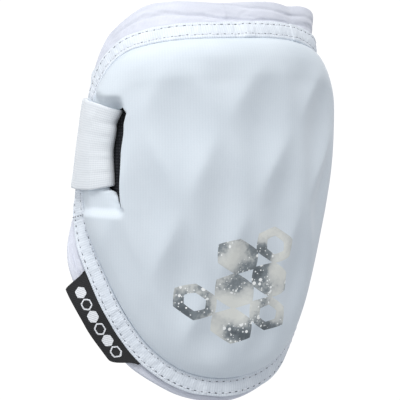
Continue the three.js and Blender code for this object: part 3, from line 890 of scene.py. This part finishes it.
def even_shares(reach, pitch):
    """Shares of the crease that put even steps along the flange at a reach."""
    fine = np.linspace(0, 1, EDGE_STEPS)
    line = on_flange(flange(fine), np.full((EDGE_STEPS, 1), reach), np.zeros((EDGE_STEPS, 1)))[:, 0]
    walked = np.concatenate([[0], np.cumsum(np.linalg.norm(np.diff(line, axis=0), axis=1))])
    count = round(walked[-1] / pitch)
    return np.interp(np.arange(count) / count * walked[-1], walked, fine), walked[-1]


def make_stitches(thread, shadow):
    """Two rows of thread along the tape with a dark disc of painted shade for the needle hole between
    stitches, and a cross row of these painted hole shades where a sewn lap starts."""
    rng = np.random.default_rng(STITCH_SEED)
    threads, thread_faces, hole_shades, hole_shade_faces = [], [], [], []

    # a dark disc just off the tape: the painted shade of a needle hole
    def hole(share, reach, half_length, half_width, turned=False):
        station = flange(np.array([share]))
        spot = np.full((1, 1), reach)
        centre = on_flange(station, spot, tape_top(station, spot) + HOLE_SHADE.film)[0, 0]
        outward = station["outward"][0]
        along = np.cross(station["lift"][0], outward)
        if turned:
            along, outward = outward, along
        count = HOLE_SHADE.corners
        turn = turns(count)[:, None]
        size = rng.uniform(*HOLE_SHADE.uneven)
        rim = size * (half_length * np.cos(turn) * along + half_width * np.sin(turn) * outward)
        base = sum(map(len, hole_shades))
        hole_shades.append(np.vstack([centre + rim, centre + HOLE_SHADE.film * station["lift"][0]]))
        hole_shade_faces.extend([base + k, base + (k + 1) % count, base + count] for k in range(count))

    for row in SEAMS:
        reach = row["reach"]
        shares, length = even_shares(reach, STITCH.pitch)
        for share in shares:
            drift = rng.normal(0, STITCH.drift)
            station = flange(share + STITCH.length / length * STITCH_PLACES["along"])
            reaches = np.full((len(STITCH_ROWS), 1), reach + drift)
            height = tape_top(station, reaches) + STITCH_PLACES["rise"][:, None]
            line = on_flange(station, reaches, height)[:, 0]
            radius = STITCH.radius * rng.uniform(*STITCH.uneven)
            rings = tube(line, station["outward"], station["lift"], radius)
            ids = sum(map(len, threads)) + numbered(*rings.shape[:2])
            threads.append(rings.reshape(-1, 3))
            thread_faces.extend(grid_faces(looped(ids)).tolist())
            thread_faces.extend([ids[0, ::-1].tolist(), ids[-1].tolist()])
            hole(share + STITCH.pitch / length / 2, reach + drift, *row["hole"])
    for lap in LAPS:
        if lap["sewn"]:
            for reach in np.linspace(CROSS_ROW.start, CROSS_ROW.to, CROSS_ROW.count):
                hole(lap["from"] + SEAM_INSET, reach, *SEAMS[-1]["hole"], turned=True)
    made = new_piece("tape_stitches", np.concatenate(threads), thread_faces, thread)
    # the dark discs of painted shade at the needle holes
    dark = new_piece("needle_hole_shade", np.concatenate(hole_shades), hole_shade_faces, shadow)
    return made, dark


LABEL_LOOK = Sizes(columns=90, rows=14, wave=0.25, waves=7, phase=0.6, seam=0.6, width=10)
LABEL_LENGTH = 42
FOLD_POWER = 6  # how sharply the label's two layers close at its outer fold


def label_share(along):
    return 1 - lerp(LABEL.start, LABEL.to, along) / 2


def label_reach(along):
    """How far the label reaches past the tape: a straight strip beside a curved edge."""
    return eased(LABEL_ROWS, along, "reach")


def label_points(along, across, height):
    """Points on the label by shares of its length and of its reach."""
    station = flange(label_share(along))
    start = TAPE.width + GAP - LABEL_LOOK.seam
    reach = start + (label_reach(along)[:, None] + LABEL_LOOK.seam) * across
    bend = np.sin(LABEL_LOOK.waves * along + LABEL_LOOK.phase)
    wave = LABEL_LOOK.wave * bend[:, None] * across ** 2
    return on_flange(station, reach, LABEL.lift + LABEL.thickness / 2 + wave + height)


def make_label(material):
    """A folded strip: two layers that part a little near the seam and close at the outer fold."""
    along = np.linspace(0, 1, LABEL_LOOK.columns)
    across = np.sin(np.linspace(0, math.pi / 2, LABEL_LOOK.rows))[None]
    half = LABEL.thickness / 2
    puff = half * np.sqrt(np.clip(1 - across ** FOLD_POWER, 0, 1)) + 0 * along[:, None]
    front = label_points(along, across, puff)
    back = label_points(along, across, -puff)
    points, faces = closed_wall(front, back)
    length = along[:, None] * LABEL_LENGTH
    sheet = pairs(length, across * LABEL_LOOK.width).reshape(-1, 2)
    return new_piece("label_fold", points, faces, material, np.concatenate([sheet, sheet]))


PRINT = Sizes(
    start=0.17, to=0.79, cells=6, radius=2.5, line=0.62, filled=0.3, across=0.5, film=0.07, corners=24,
)


def make_label_print(material):
    """A row of small white cells along the label, every other one filled."""
    count = PRINT.corners
    turn = turns(count)
    rim = hexagon(turn)
    points, faces, sheet = [], [], []
    for k, middle in enumerate(np.linspace(PRINT.start, PRINT.to, PRINT.cells)):
        inner = PRINT.radius - PRINT.line if k % 2 else PRINT.filled
        for radius in (inner, PRINT.radius):
            along = middle + radius * rim * np.cos(turn) / LABEL_LENGTH
            reach = label_reach(along) + LABEL_LOOK.seam
            across = PRINT.across + radius * rim * np.sin(turn) / reach
            height = LABEL.thickness / 2 * np.sqrt(1 - across ** FOLD_POWER) + PRINT.film
            points.append(label_points(along, across[:, None], height[:, None])[:, 0])
            sheet.append(np.stack([along * LABEL_LENGTH, across * reach], -1))
        ids = 2 * k * count + numbered(2, count)
        faces += grid_faces(looped(ids)).tolist()
        if not k % 2:
            faces.append(ids[0].tolist())
    return new_piece("label_print", np.concatenate(points), faces, material, np.concatenate(sheet))


# The elastic strap

STRAP_LOOK = Sizes(
    steps=11, mouth=8, mouth_ease=3, gather=0.1, gather_reach=7, edge=0.7, edge_share=0.25, nose_steps=7,
    back_steps=4, sewn_steps=3,
)
# The gathers at the slot, as waves across the strap
GATHERS = table(
    "waves phase size",
    (6.5, 0.7, 1),
    (11, 2, 0.6),
)
STRAP_ACROSS = np.concatenate([
    [0, 0.004, 0.012, 0.024], np.linspace(0.05, 0.95, 37), [0.976, 0.988, 0.996, 1]])
SIDE = Sizes(start=0.02, to=0.48, steps=900)  # the shares of the crease searched for a height


def flange_at_height(reach, lift, height, side):
    """The flange's points at heights on one side, for a reach and a lift off its face."""
    share = np.linspace(SIDE.start, SIDE.to, SIDE.steps)
    station = flange(share if side > 0 else 1 - share)
    line = on_flange(station, np.full((len(share), 1), reach), np.full((len(share), 1), lift))[:, 0]
    order = np.argsort(line[:, 2])
    return np.stack([np.interp(height, line[order, 2], line[order, k]) for k in range(3)], -1)


def strap_start(across, height):
    """The strap's left lines, from under the bridge, round its nose and over the tape."""
    mouth = lerp(STRAP.mouth_low, STRAP.mouth_high, across)
    half = STRAP.thickness / 2
    under = STRAP.clearance + half - GAP
    clear = STRAP.clearance + half
    over = CHANNEL.floor_rise + clear
    nose = BRIDGE.nose_rise
    bridge = eased(SLOT_ROWS, mouth, "far")
    route = [(STRAP.tuck, 0, under), (STRAP.tuck / 2, 0, under), (0, 0, under),
             (-clear, 0, lerp(under, nose, STRAP.first_rise))]
    for share in np.linspace(0, 1, STRAP_LOOK.nose_steps):
        turn = math.pi / 2 * share
        past = BRIDGE.reach - (BRIDGE.reach + clear + GAP) * math.cos(turn)
        spread = STRAP.first_spread * (1 - math.cos(turn))
        route.append((past, spread, nose + (over - nose) * math.sin(turn)))
    points = [on_shell(-bridge - past, lerp(mouth, height, spread), rise) for past, spread, rise in route]

    lift = TAPE.thickness + TAPE.crown + clear
    turn = TAPE.width + STRAP_MARGIN + clear + GAP
    at_crease = lerp(mouth, height, OVER_TAPE.crease_spread)
    points.append(flange_at_height(0, lift + OVER_TAPE.crease_lift, at_crease, -1))
    for reach, rise in [(TAPE.width * OVER_TAPE.rest, lift),
                        (TAPE.width, lift * OVER_TAPE.edge_lift),
                        (turn, lift * OVER_TAPE.turn_lift),
                        (turn + OVER_TAPE.turn_out, -RIM.thickness)]:
        points.append(flange_at_height(reach, rise, height, -1))
    return points


def strap_end(height):
    """The strap's right lines, sewn flat behind the liner rim."""
    behind = -RIM.drop - RIM.thickness - STRAP.clearance - STRAP.thickness / 2
    reaches = np.linspace(STRAP.sewn_from, STRAP.sewn_to, STRAP_LOOK.sewn_steps)
    return [flange_at_height(reach, behind, height, 1) for reach in reaches]


def strap_lines(across, side):
    """One side's lines of the strap, carried on from its own end to the back of the arm."""
    height = lerp(STRAP.low, STRAP.high, across)
    points = strap_start(across, height) if side < 0 else strap_end(height)
    radius = STRAP.back_radius + STRAP.thickness / 2
    leave = points[-1]
    x, y = side * leave[:, 0], leave[:, 1] - STRAP.back_centre
    touch = np.arctan2(y, x) + np.arccos(radius / np.hypot(x, y))

    def on_back(angle):
        return np.stack([side * radius * np.cos(angle),
                         STRAP.back_centre + radius * np.sin(angle), height], -1)

    points.append(lerp(leave, on_back(touch), 0.5))
    for share in np.arange(STRAP_LOOK.back_steps) / STRAP_LOOK.back_steps:
        points.append(on_back(lerp(touch, math.pi / 2, share)))
    return np.stack(points, 1)


def make_strap(material):
    across = STRAP_ACROSS
    height = lerp(STRAP.low, STRAP.high, across)
    back = np.stack([0 * across, 0 * across + STRAP.back_centre + STRAP.back_radius
                     + STRAP.thickness / 2, height], -1)[:, None]
    left, right = strap_lines(across, -1), strap_lines(across, 1)
    path = np.concatenate([left, back, right[:, ::-1]], 1)
    lines = np.stack([catmull_rom(row, False, STRAP_LOOK.steps) for row in path])
    walked = np.linalg.norm(np.diff(lines, axis=1), axis=-1)
    length = np.concatenate([np.zeros((len(across), 1)), np.cumsum(walked, 1)], 1)
    forward = np.gradient(lines, axis=1)
    upward = np.gradient(lines, axis=0)
    normal = unit(np.cross(forward, upward))

    # gathers run out from the slot, where the band is drawn together
    from_mouth = length - STRAP_LOOK.mouth
    ease = STRAP_LOOK.mouth_ease
    fade = np.exp(-np.maximum(from_mouth, 0) / STRAP_LOOK.gather_reach)
    fade = fade * smoothstep(from_mouth, -ease, ease)
    folds = sum(row["size"] * np.sin(2 * math.pi * row["waves"] * across + row["phase"]) for row in GATHERS)
    lines = lines + normal * (STRAP_LOOK.gather * folds[:, None] * fade)[..., None]

    width = (STRAP.high - STRAP.low) * np.minimum(across, 1 - across)
    soft = np.clip(width / STRAP_LOOK.edge, 0, 1)
    half = STRAP.thickness / 2 * lerp(STRAP_LOOK.edge_share, 1, np.sqrt(1 - (1 - soft) ** 2))
    offset = normal * half[:, None, None]
    points, faces = closed_wall(lines + offset, lines - offset)
    sheet = pairs(length, height[:, None]).reshape(-1, 2)
    made = new_piece("strap_band", points, faces, material, np.concatenate([sheet, sheet]))
    return made, float(np.median(length[:, -1]))


# The foil decoration: a slanted honeycomb of cells, some of them outlined

FOIL = Sizes(
    centre=(-1.5, -28), pitch=16.2, radius=8.6, turn=14, lean=-0.3, film=0.06, film_edge=0.02, hole=0.5,
    filled=0.02, corners=60, rings=10,
)
HEXAGON = Sizes(round=0.93, softness=0.22)
FOIL_CELLS = table(
    "along up ring",
    (0, 1, False),
    (1, 1, True),
    (-1, 0, True),
    (0, 0, False),
    (1, 0, False),
    (0, -1, False),
    (1, -1, True),
)


def hexagon(turn):
    """The distance from its middle to the rim of a cell with soft corners."""
    sector = math.pi / 3
    flat = np.mod(turn, sector) - sector / 2
    return lerp(math.cos(sector / 2) / np.cos(flat), HEXAGON.round, HEXAGON.softness)


def make_foil(material):
    steps, rings = FOIL.corners, FOIL.rings
    turn = turns(steps)
    rim = hexagon(turn)
    tilt = math.radians(FOIL.turn)
    points, faces, sheet = [], [], []
    made = 0
    for cell in FOIL_CELLS:
        column = cell["along"] + 0.5 * cell["up"]
        row = cell["up"] * math.sin(math.pi / 3)
        inner = FOIL.hole if cell["ring"] else FOIL.filled
        shares = lerp(inner, 1, np.linspace(0, 1, rings))
        reach = FOIL.radius * shares[:, None] * rim[None]
        a = FOIL.pitch * column + reach * np.cos(turn)[None]
        b = FOIL.pitch * row + reach * np.sin(turn)[None]
        a = a + FOIL.lean * b
        across = FOIL.centre[0] + a * math.cos(tilt) - b * math.sin(tilt)
        height = FOIL.centre[1] + a * math.sin(tilt) + b * math.cos(tilt)
        places = np.stack([across, height], -1).reshape(-1, 2)
        film = np.full((rings, 1), FOIL.film)
        film[-1] = FOIL.film_edge
        if cell["ring"]:
            film[0] = FOIL.film_edge
        rise = pad_rise(places, inside_crease(places)).reshape(rings, steps) + film
        points.append(on_shell(across, height, rise).reshape(-1, 3))
        sheet.append(places)
        ids = made + numbered(rings, steps)
        faces += grid_faces(looped(ids)[::-1]).tolist()
        if not cell["ring"]:
            faces.append(ids[0].tolist())
        made += rings * steps
    return new_piece("foil_cells", np.concatenate(points), faces, material, np.concatenate(sheet))


# Materials

def srgb(red, green, blue):
    """A colour read off a screen, as linear light."""
    values = np.array([red, green, blue]) / 255
    linear = np.where(values <= 0.04045, values / 12.92, ((values + 0.055) / 1.055) ** 2.4)
    return (*map(float, linear), 1.0)


SHEEN_ROUGHNESS = 0.4
WAVE_PITCH = 2 * math.pi / 20  # the length of one band at scale 1


class Looks:
    """One procedural material under construction."""

    def __init__(self, name, roughness, sheen=0.0, specular=0.35, metallic=0.0):
        self.material = bpy.data.materials.new(name)
        self.material.use_nodes = True
        self.tree = self.material.node_tree
        self.shader = self.tree.nodes["Principled BSDF"]
        values = {"Roughness": roughness, "Specular IOR Level": specular, "Metallic": metallic,
                  "Sheen Weight": sheen, "Sheen Roughness": SHEEN_ROUGHNESS}
        for socket, value in values.items():
            self.shader.inputs[socket].default_value = value

    def add(self, kind, settings=(), **inputs):
        node = self.tree.nodes.new("ShaderNode" + kind)
        for name, value in dict(settings).items():
            setattr(node, name, value)
        for name, value in inputs.items():
            self.put(value, node.inputs[name.replace("_", " ")])
        return node

    def put(self, value, socket):
        if isinstance(value, bpy.types.NodeSocket):
            self.tree.links.new(value, socket)
        else:
            socket.default_value = value

    def sheet(self):
        return self.add("UVMap", {"uv_map": "sheet"}).outputs["UV"]

    def place(self):
        return self.add("TexCoord").outputs["Object"]

    def bands(self, direction, pitch, distortion=0.0):
        """Even ribs on the sheet, so many millimetres apart."""
        wave = self.add("TexWave", {"wave_type": "BANDS", "bands_direction": direction},
                        Vector=self.sheet(), Scale=WAVE_PITCH / pitch, Distortion=distortion,
                        Detail=1.0)
        return wave.outputs["Fac"]

    def noise(self, size, detail=2.0):
        """Soft noise with lumps of about so many millimetres."""
        return self.add("TexNoise", Vector=self.place(), Scale=1000 / size, Detail=detail).outputs["Fac"]

    def pattern(self, kind, *settings):
        """A pattern by its kind and settings; a product has two patterns for settings."""
        if kind == "product":
            return self.math("MULTIPLY", *(self.pattern(*part) for part in settings))
        return getattr(self, kind)(*settings)

    def math(self, operation, a, b=0.0, c=0.0):
        node = self.add("Math", {"operation": operation})
        for value, socket in zip((a, b, c), node.inputs):
            self.put(value, socket)
        return node.outputs["Value"]

    def total(self, *parts):
        """The sum of parts, each a source and its weight."""
        result = None
        for source, weight in parts:
            scaled = self.math("MULTIPLY", source, weight)
            result = scaled if result is None else self.math("ADD", result, scaled)
        return result

    def ramp(self, factor, *stops):
        node = self.add("ValToRGB", Fac=factor)
        elements = node.color_ramp.elements
        while len(elements) < len(stops):
            elements.new(0.5)
        for element, (place, colour) in zip(elements, stops):
            element.position = place
            element.color = colour
        return node.outputs["Color"]

    def colour(self, factor, *stops):
        self.put(self.ramp(factor, *stops), self.shader.inputs["Base Color"])

    def relief(self, height, depth):
        """Raises the surface by a height of 0 to 1 times a depth in millimetres."""
        bump = self.add("Bump", Height=height, Distance=depth * MM, Strength=1.0)
        self.put(bump.outputs["Normal"], self.shader.inputs["Normal"])


# Finishes. The surface has roughness, sheen and specular. Each layer has its pattern, with the pitch
# and distortion of bands or the size and detail of noise in millimetres, and then its weights in the
# shade and in the relief. Each colour has its place in the shade. The relief's depth is in millimetres.
FINISHES = {
    # a fine warp knit bonded to the foam: upright ribs and a slight mottle
    "white_knit": {
        "surface": (0.7, 0.25, 0.3),
        "layers": [(("bands", "X", 1.05, 0.4), 0.12, 0.4), (("bands", "Y", 0.7, 0.6), 0.06, 0.2),
                   (("noise", 16), 0.55, 0), (("noise", 0.5, 1.0), 0.27, 0.4)],
        "colours": [(0.2, (213, 222, 230)), (0.75, (224, 232, 239))], "depth": 0.016},
    # a ribbed woven tape, its ribs across its length and uneven
    "white_tape": {
        "surface": (0.75, 0.2, 0.3),
        "layers": [(("product", ("bands", "X", 0.95, 0.3), ("noise", 9)), 0.4, 0.8),
                   (("bands", "Y", 0.6, 0.4), 0.1, 0.2), (("noise", 7), 0.5, 0)],
        "colours": [(0.15, (212, 219, 228)), (0.6, (234, 240, 247))], "depth": 0.12},
    # a smooth stretch knit over thin padding, a little violet in the shade
    "white_padding": {
        "surface": (0.65, 0.3, 0.3),
        "layers": [(("bands", "X", 0.55, 0.5), 0.2, 0.5), (("noise", 12), 0.5, 0),
                   (("noise", 0.6, 1.0), 0.3, 0.5)],
        "colours": [(0.25, (206, 209, 221)), (0.7, (220, 223, 233))], "depth": 0.04},
    # a woven elastic with cords along it and fine picks across
    "white_elastic": {
        "surface": (0.7, 0.25, 0.3),
        "layers": [(("bands", "Y", 1.0, 0.2), 0.3, 0.55), (("bands", "X", 0.75, 0.3), 0.25, 0.45),
                   (("noise", 14), 0.45, 0)],
        "colours": [(0.15, (220, 225, 230)), (0.7, (235, 239, 243))], "depth": 0.06},
    # a black warp knit with small open loops
    "black_lining": {
        "surface": (0.85, 0.15, 0.25),
        "layers": [(("product", ("bands", "X", 1.3, 0.3), ("bands", "Y", 1.3, 0.3)), 0.6, 1),
                   (("noise", 5), 0.4, 0)],
        "colours": [(0.1, (26, 28, 32)), (0.8, (70, 72, 79))], "depth": 0.18},
    # a dense black satin weave
    "black_label": {
        "surface": (0.55, 0.1, 0.35),
        "layers": [(("bands", "DIAGONAL", 0.55, 0.2), 0.5, 1), (("noise", 4), 0.5, 0)],
        "colours": [(0.2, (9, 10, 13)), (0.8, (24, 26, 31))], "depth": 0.05},
    # white woven figures in the label
    "white_print": {
        "surface": (0.7, 0.1, 0.35),
        "layers": [(("bands", "DIAGONAL", 0.55, 0.2), 0.6, 1), (("noise", 1.5), 0.4, 0)],
        "colours": [(0.2, (206, 209, 214)), (0.7, (238, 240, 243))], "depth": 0.04},
    "sewing_thread": {
        "surface": (0.6, 0.2, 0.35), "layers": [(("noise", 0.8), 1, 1)],
        "colours": [(0.3, (214, 218, 226)), (0.7, (240, 243, 248))], "depth": 0.05},
    # a dark grey for the painted shade of the needle holes
    "needle_shadow": {
        "surface": (0.9, 0, 0.1), "layers": [(("noise", 1.2), 1, 0)],
        "colours": [(0.3, (86, 90, 98)), (0.7, (136, 141, 149))], "depth": 0},
    "studio_paper": {
        "surface": (0.9, 0, 0.1), "layers": [(("noise", 400), 1, 0)],
        "colours": [(0.3, (214, 217, 221)), (0.7, (220, 223, 226))], "depth": 0},
}


def finish(name):
    """The material of one of the finishes."""
    look_of = FINISHES[name]
    look = Looks(name, *look_of["surface"])
    layers = [(look.pattern(*pattern), *weights) for pattern, *weights in look_of["layers"]]
    shade = look.total(*((made, weight) for made, weight, _ in layers))
    look.colour(shade, *((place, srgb(*colour)) for place, colour in look_of["colours"]))
    if look_of["depth"]:
        look.relief(look.total(*((made, weight) for made, _, weight in layers if weight)), look_of["depth"])
    return look.material


# The foil's specks: their spacing in millimetres and largest share of it, how widely that share varies,
# and the tone of the patches below which they show
SPECKS = table(
    "size most",
    (2.6, 0.42),
    (1.1, 0.4),
)
SPECK_SPREAD = 0.6
SPECKS_BELOW = 0.53


def silver_foil():
    """A printed silver foil: dull dark and pale patches under a spatter of white specks."""
    look = Looks("silver_foil", roughness=0.42, specular=0.5, metallic=0.35)
    patches = look.noise(17, 1.0)
    fine = look.noise(1.6, 3.0)
    tone = look.total((patches, 0.85), (fine, 0.15))
    base = look.ramp(tone, (0.38, srgb(86, 94, 100)), (0.46, srgb(128, 136, 141)),
                     (0.52, srgb(194, 197, 196)), (0.62, srgb(216, 218, 214)))
    specks = 0.0
    for row in SPECKS:
        cells = look.add("TexVoronoi", Vector=look.place(), Scale=1000 / row["size"], Randomness=1.0)
        chance = look.add("SeparateColor", Color=cells.outputs["Color"])
        most, least = row["most"], -SPECK_SPREAD * row["most"]
        limit = look.math("MULTIPLY_ADD", chance.outputs["Red"], most * (1 + SPECK_SPREAD), least)
        inside = look.math("GREATER_THAN", limit, cells.outputs["Distance"])
        specks = look.math("MAXIMUM", specks, inside)
    speckled = look.math("MULTIPLY", specks, look.math("LESS_THAN", patches, SPECKS_BELOW))
    mix = look.add("MixRGB", Fac=speckled, Color1=base, Color2=srgb(238, 240, 240))
    look.put(mix.outputs["Color"], look.shader.inputs["Base Color"])
    look.relief(look.total((fine, 0.6), (specks, 0.4)), 0.04)
    return look.material


def glowing(name, strength):
    """A plain white glow."""
    look = Looks(name, roughness=1.0)
    values = {"Base Color": (0, 0, 0, 1), "Emission Color": (1, 1, 1, 1), "Emission Strength": strength}
    for socket, value in values.items():
        look.shader.inputs[socket].default_value = value
    return look.material


# The studio: a pale floor below the guard, a bright cove round it and soft light

FLOOR_LEVEL = -0.45
COVE = Sizes(radius=1.8, top=0.6, glow=1.05, steps=96)
PALE = Sizes(glow=0.84, above=1)  # the pale sheet that the camera sees, in millimetres above the floor


def make_studio():
    steps = COVE.steps
    turn = turns(steps)
    ring = 1000 * COVE.radius * np.stack([np.cos(turn), np.sin(turn)], -1)
    low = np.hstack([ring, np.full((steps, 1), 1000 * FLOOR_LEVEL)])
    high = np.hstack([ring, np.full((steps, 1), 1000 * COVE.top)])
    middle = [[0, 0, 1000 * FLOOR_LEVEL]]
    fan = [[k, (k + 1) % steps, steps] for k in range(steps)]
    floor = new_piece("studio_floor", np.vstack([low, middle]), fan, finish("studio_paper"))

    walls = [[k, (k + 1) % steps, steps + (k + 1) % steps, steps + k] for k in range(steps)]
    cove = new_piece("studio_cove", np.vstack([low, high]), walls, glowing("cove_glow", COVE.glow))
    cove.visible_diffuse = False

    # the floor gives the light that comes from below, and the sheet over it is what shows
    raised = np.vstack([low, middle]) + [0, 0, PALE.above]
    sheet = new_piece("studio_sheet", raised, fan, glowing("sheet_glow", PALE.glow))
    sheet.visible_diffuse = False
    sheet.visible_shadow = False
    floor.visible_camera = False


CAMERA = Sizes(azimuth=-23, elevation=6, distance=1.0, mm_per_pixel=0.44, origin_pixel=(180, 208))
FRAME_PIXELS = 400
SENSOR = 36


def towards(azimuth, elevation):
    """The direction from the origin to a place round the guard."""
    a, e = math.radians(azimuth), math.radians(elevation)
    return Vector((math.sin(a) * math.cos(e), -math.cos(a) * math.cos(e), math.sin(e)))


def aim(thing, azimuth, elevation, distance):
    """Puts a camera or lamp at a place round the guard, facing the origin."""
    back = towards(azimuth, elevation)
    thing.location = back * distance
    thing.rotation_euler = (-back).to_track_quat("-Z", "Y").to_euler()


def make_camera():
    data = bpy.data.cameras.new("camera")
    data.sensor_width = SENSOR
    data.lens = SENSOR * CAMERA.distance / (CAMERA.mm_per_pixel * MM * FRAME_PIXELS)
    data.shift_x = 0.5 - CAMERA.origin_pixel[0] / FRAME_PIXELS
    data.shift_y = CAMERA.origin_pixel[1] / FRAME_PIXELS - 0.5
    camera = new_object("camera", data)
    aim(camera, CAMERA.azimuth, CAMERA.elevation, CAMERA.distance)
    bpy.context.scene.camera = camera


LIGHTS = table(
    "name azimuth elevation distance size watts colour",
    ("key", -32, 58, 1.2, 0.6, 1.65, (1.0, 0.995, 0.985)),
    ("side", -84, 20, 1.2, 0.7, 0.42, (0.98, 0.99, 1.0)),
)
LIGHT_SPREAD = 75  # degrees, so that little of the light falls on the floor
WORLD = Sizes(colour=(0.95, 0.97, 1.0, 1), strength=0.6)


def make_lights():
    for light in LIGHTS:
        data = bpy.data.lights.new(light["name"], "AREA")
        data.shape = "DISK"
        data.size = light["size"]
        data.energy = light["watts"]
        data.color = light["colour"]
        data.spread = math.radians(LIGHT_SPREAD)
        lamp = new_object(light["name"], data)
        aim(lamp, light["azimuth"], light["elevation"], light["distance"])
        lamp.visible_camera = False
    world = bpy.data.worlds.new("studio")
    world.use_nodes = True
    background = world.node_tree.nodes["Background"]
    background.inputs["Color"].default_value = WORLD.colour
    background.inputs["Strength"].default_value = WORLD.strength
    bpy.context.scene.world = world
    bpy.context.scene.view_settings.view_transform = "Standard"


# The guard

def dress(piece, node=None):
    """Puts a piece on the guard's body, and hides the node it stands for."""
    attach(piece, "root")
    if node:
        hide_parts(node)


CUT_STEPS = 400


def make_guard():
    dark = finish("black_lining")
    # the pad, and the dark cloth of painted shade on its slot's wall
    pad, shade_facing = make_pad(finish("white_knit"), dark)
    dress(pad, "pad")
    dress(shade_facing)

    lining = make_lining(dark)
    dress(lining, "lining")
    cut = inset_crease(evenly(CUT_STEPS), LINING.inset)

    tape = make_tape(finish("white_tape"))
    dress(tape, "edge_tape")
    # the threads, and the dark discs of painted shade at their needle holes
    threads, hole_shades = make_stitches(finish("sewing_thread"), finish("needle_shadow"))
    dress(threads)
    dress(hole_shades)

    rim = make_rim(finish("white_padding"))
    dress(rim, "liner_rim")

    strap, length = make_strap(finish("white_elastic"))
    dress(strap, "strap")

    label = make_label(finish("black_label"))
    dress(label, "label_tab")
    dress(make_label_print(finish("white_print")))
    dress(make_foil(silver_foil()))


make_studio()
make_camera()
make_lights()
make_guard()
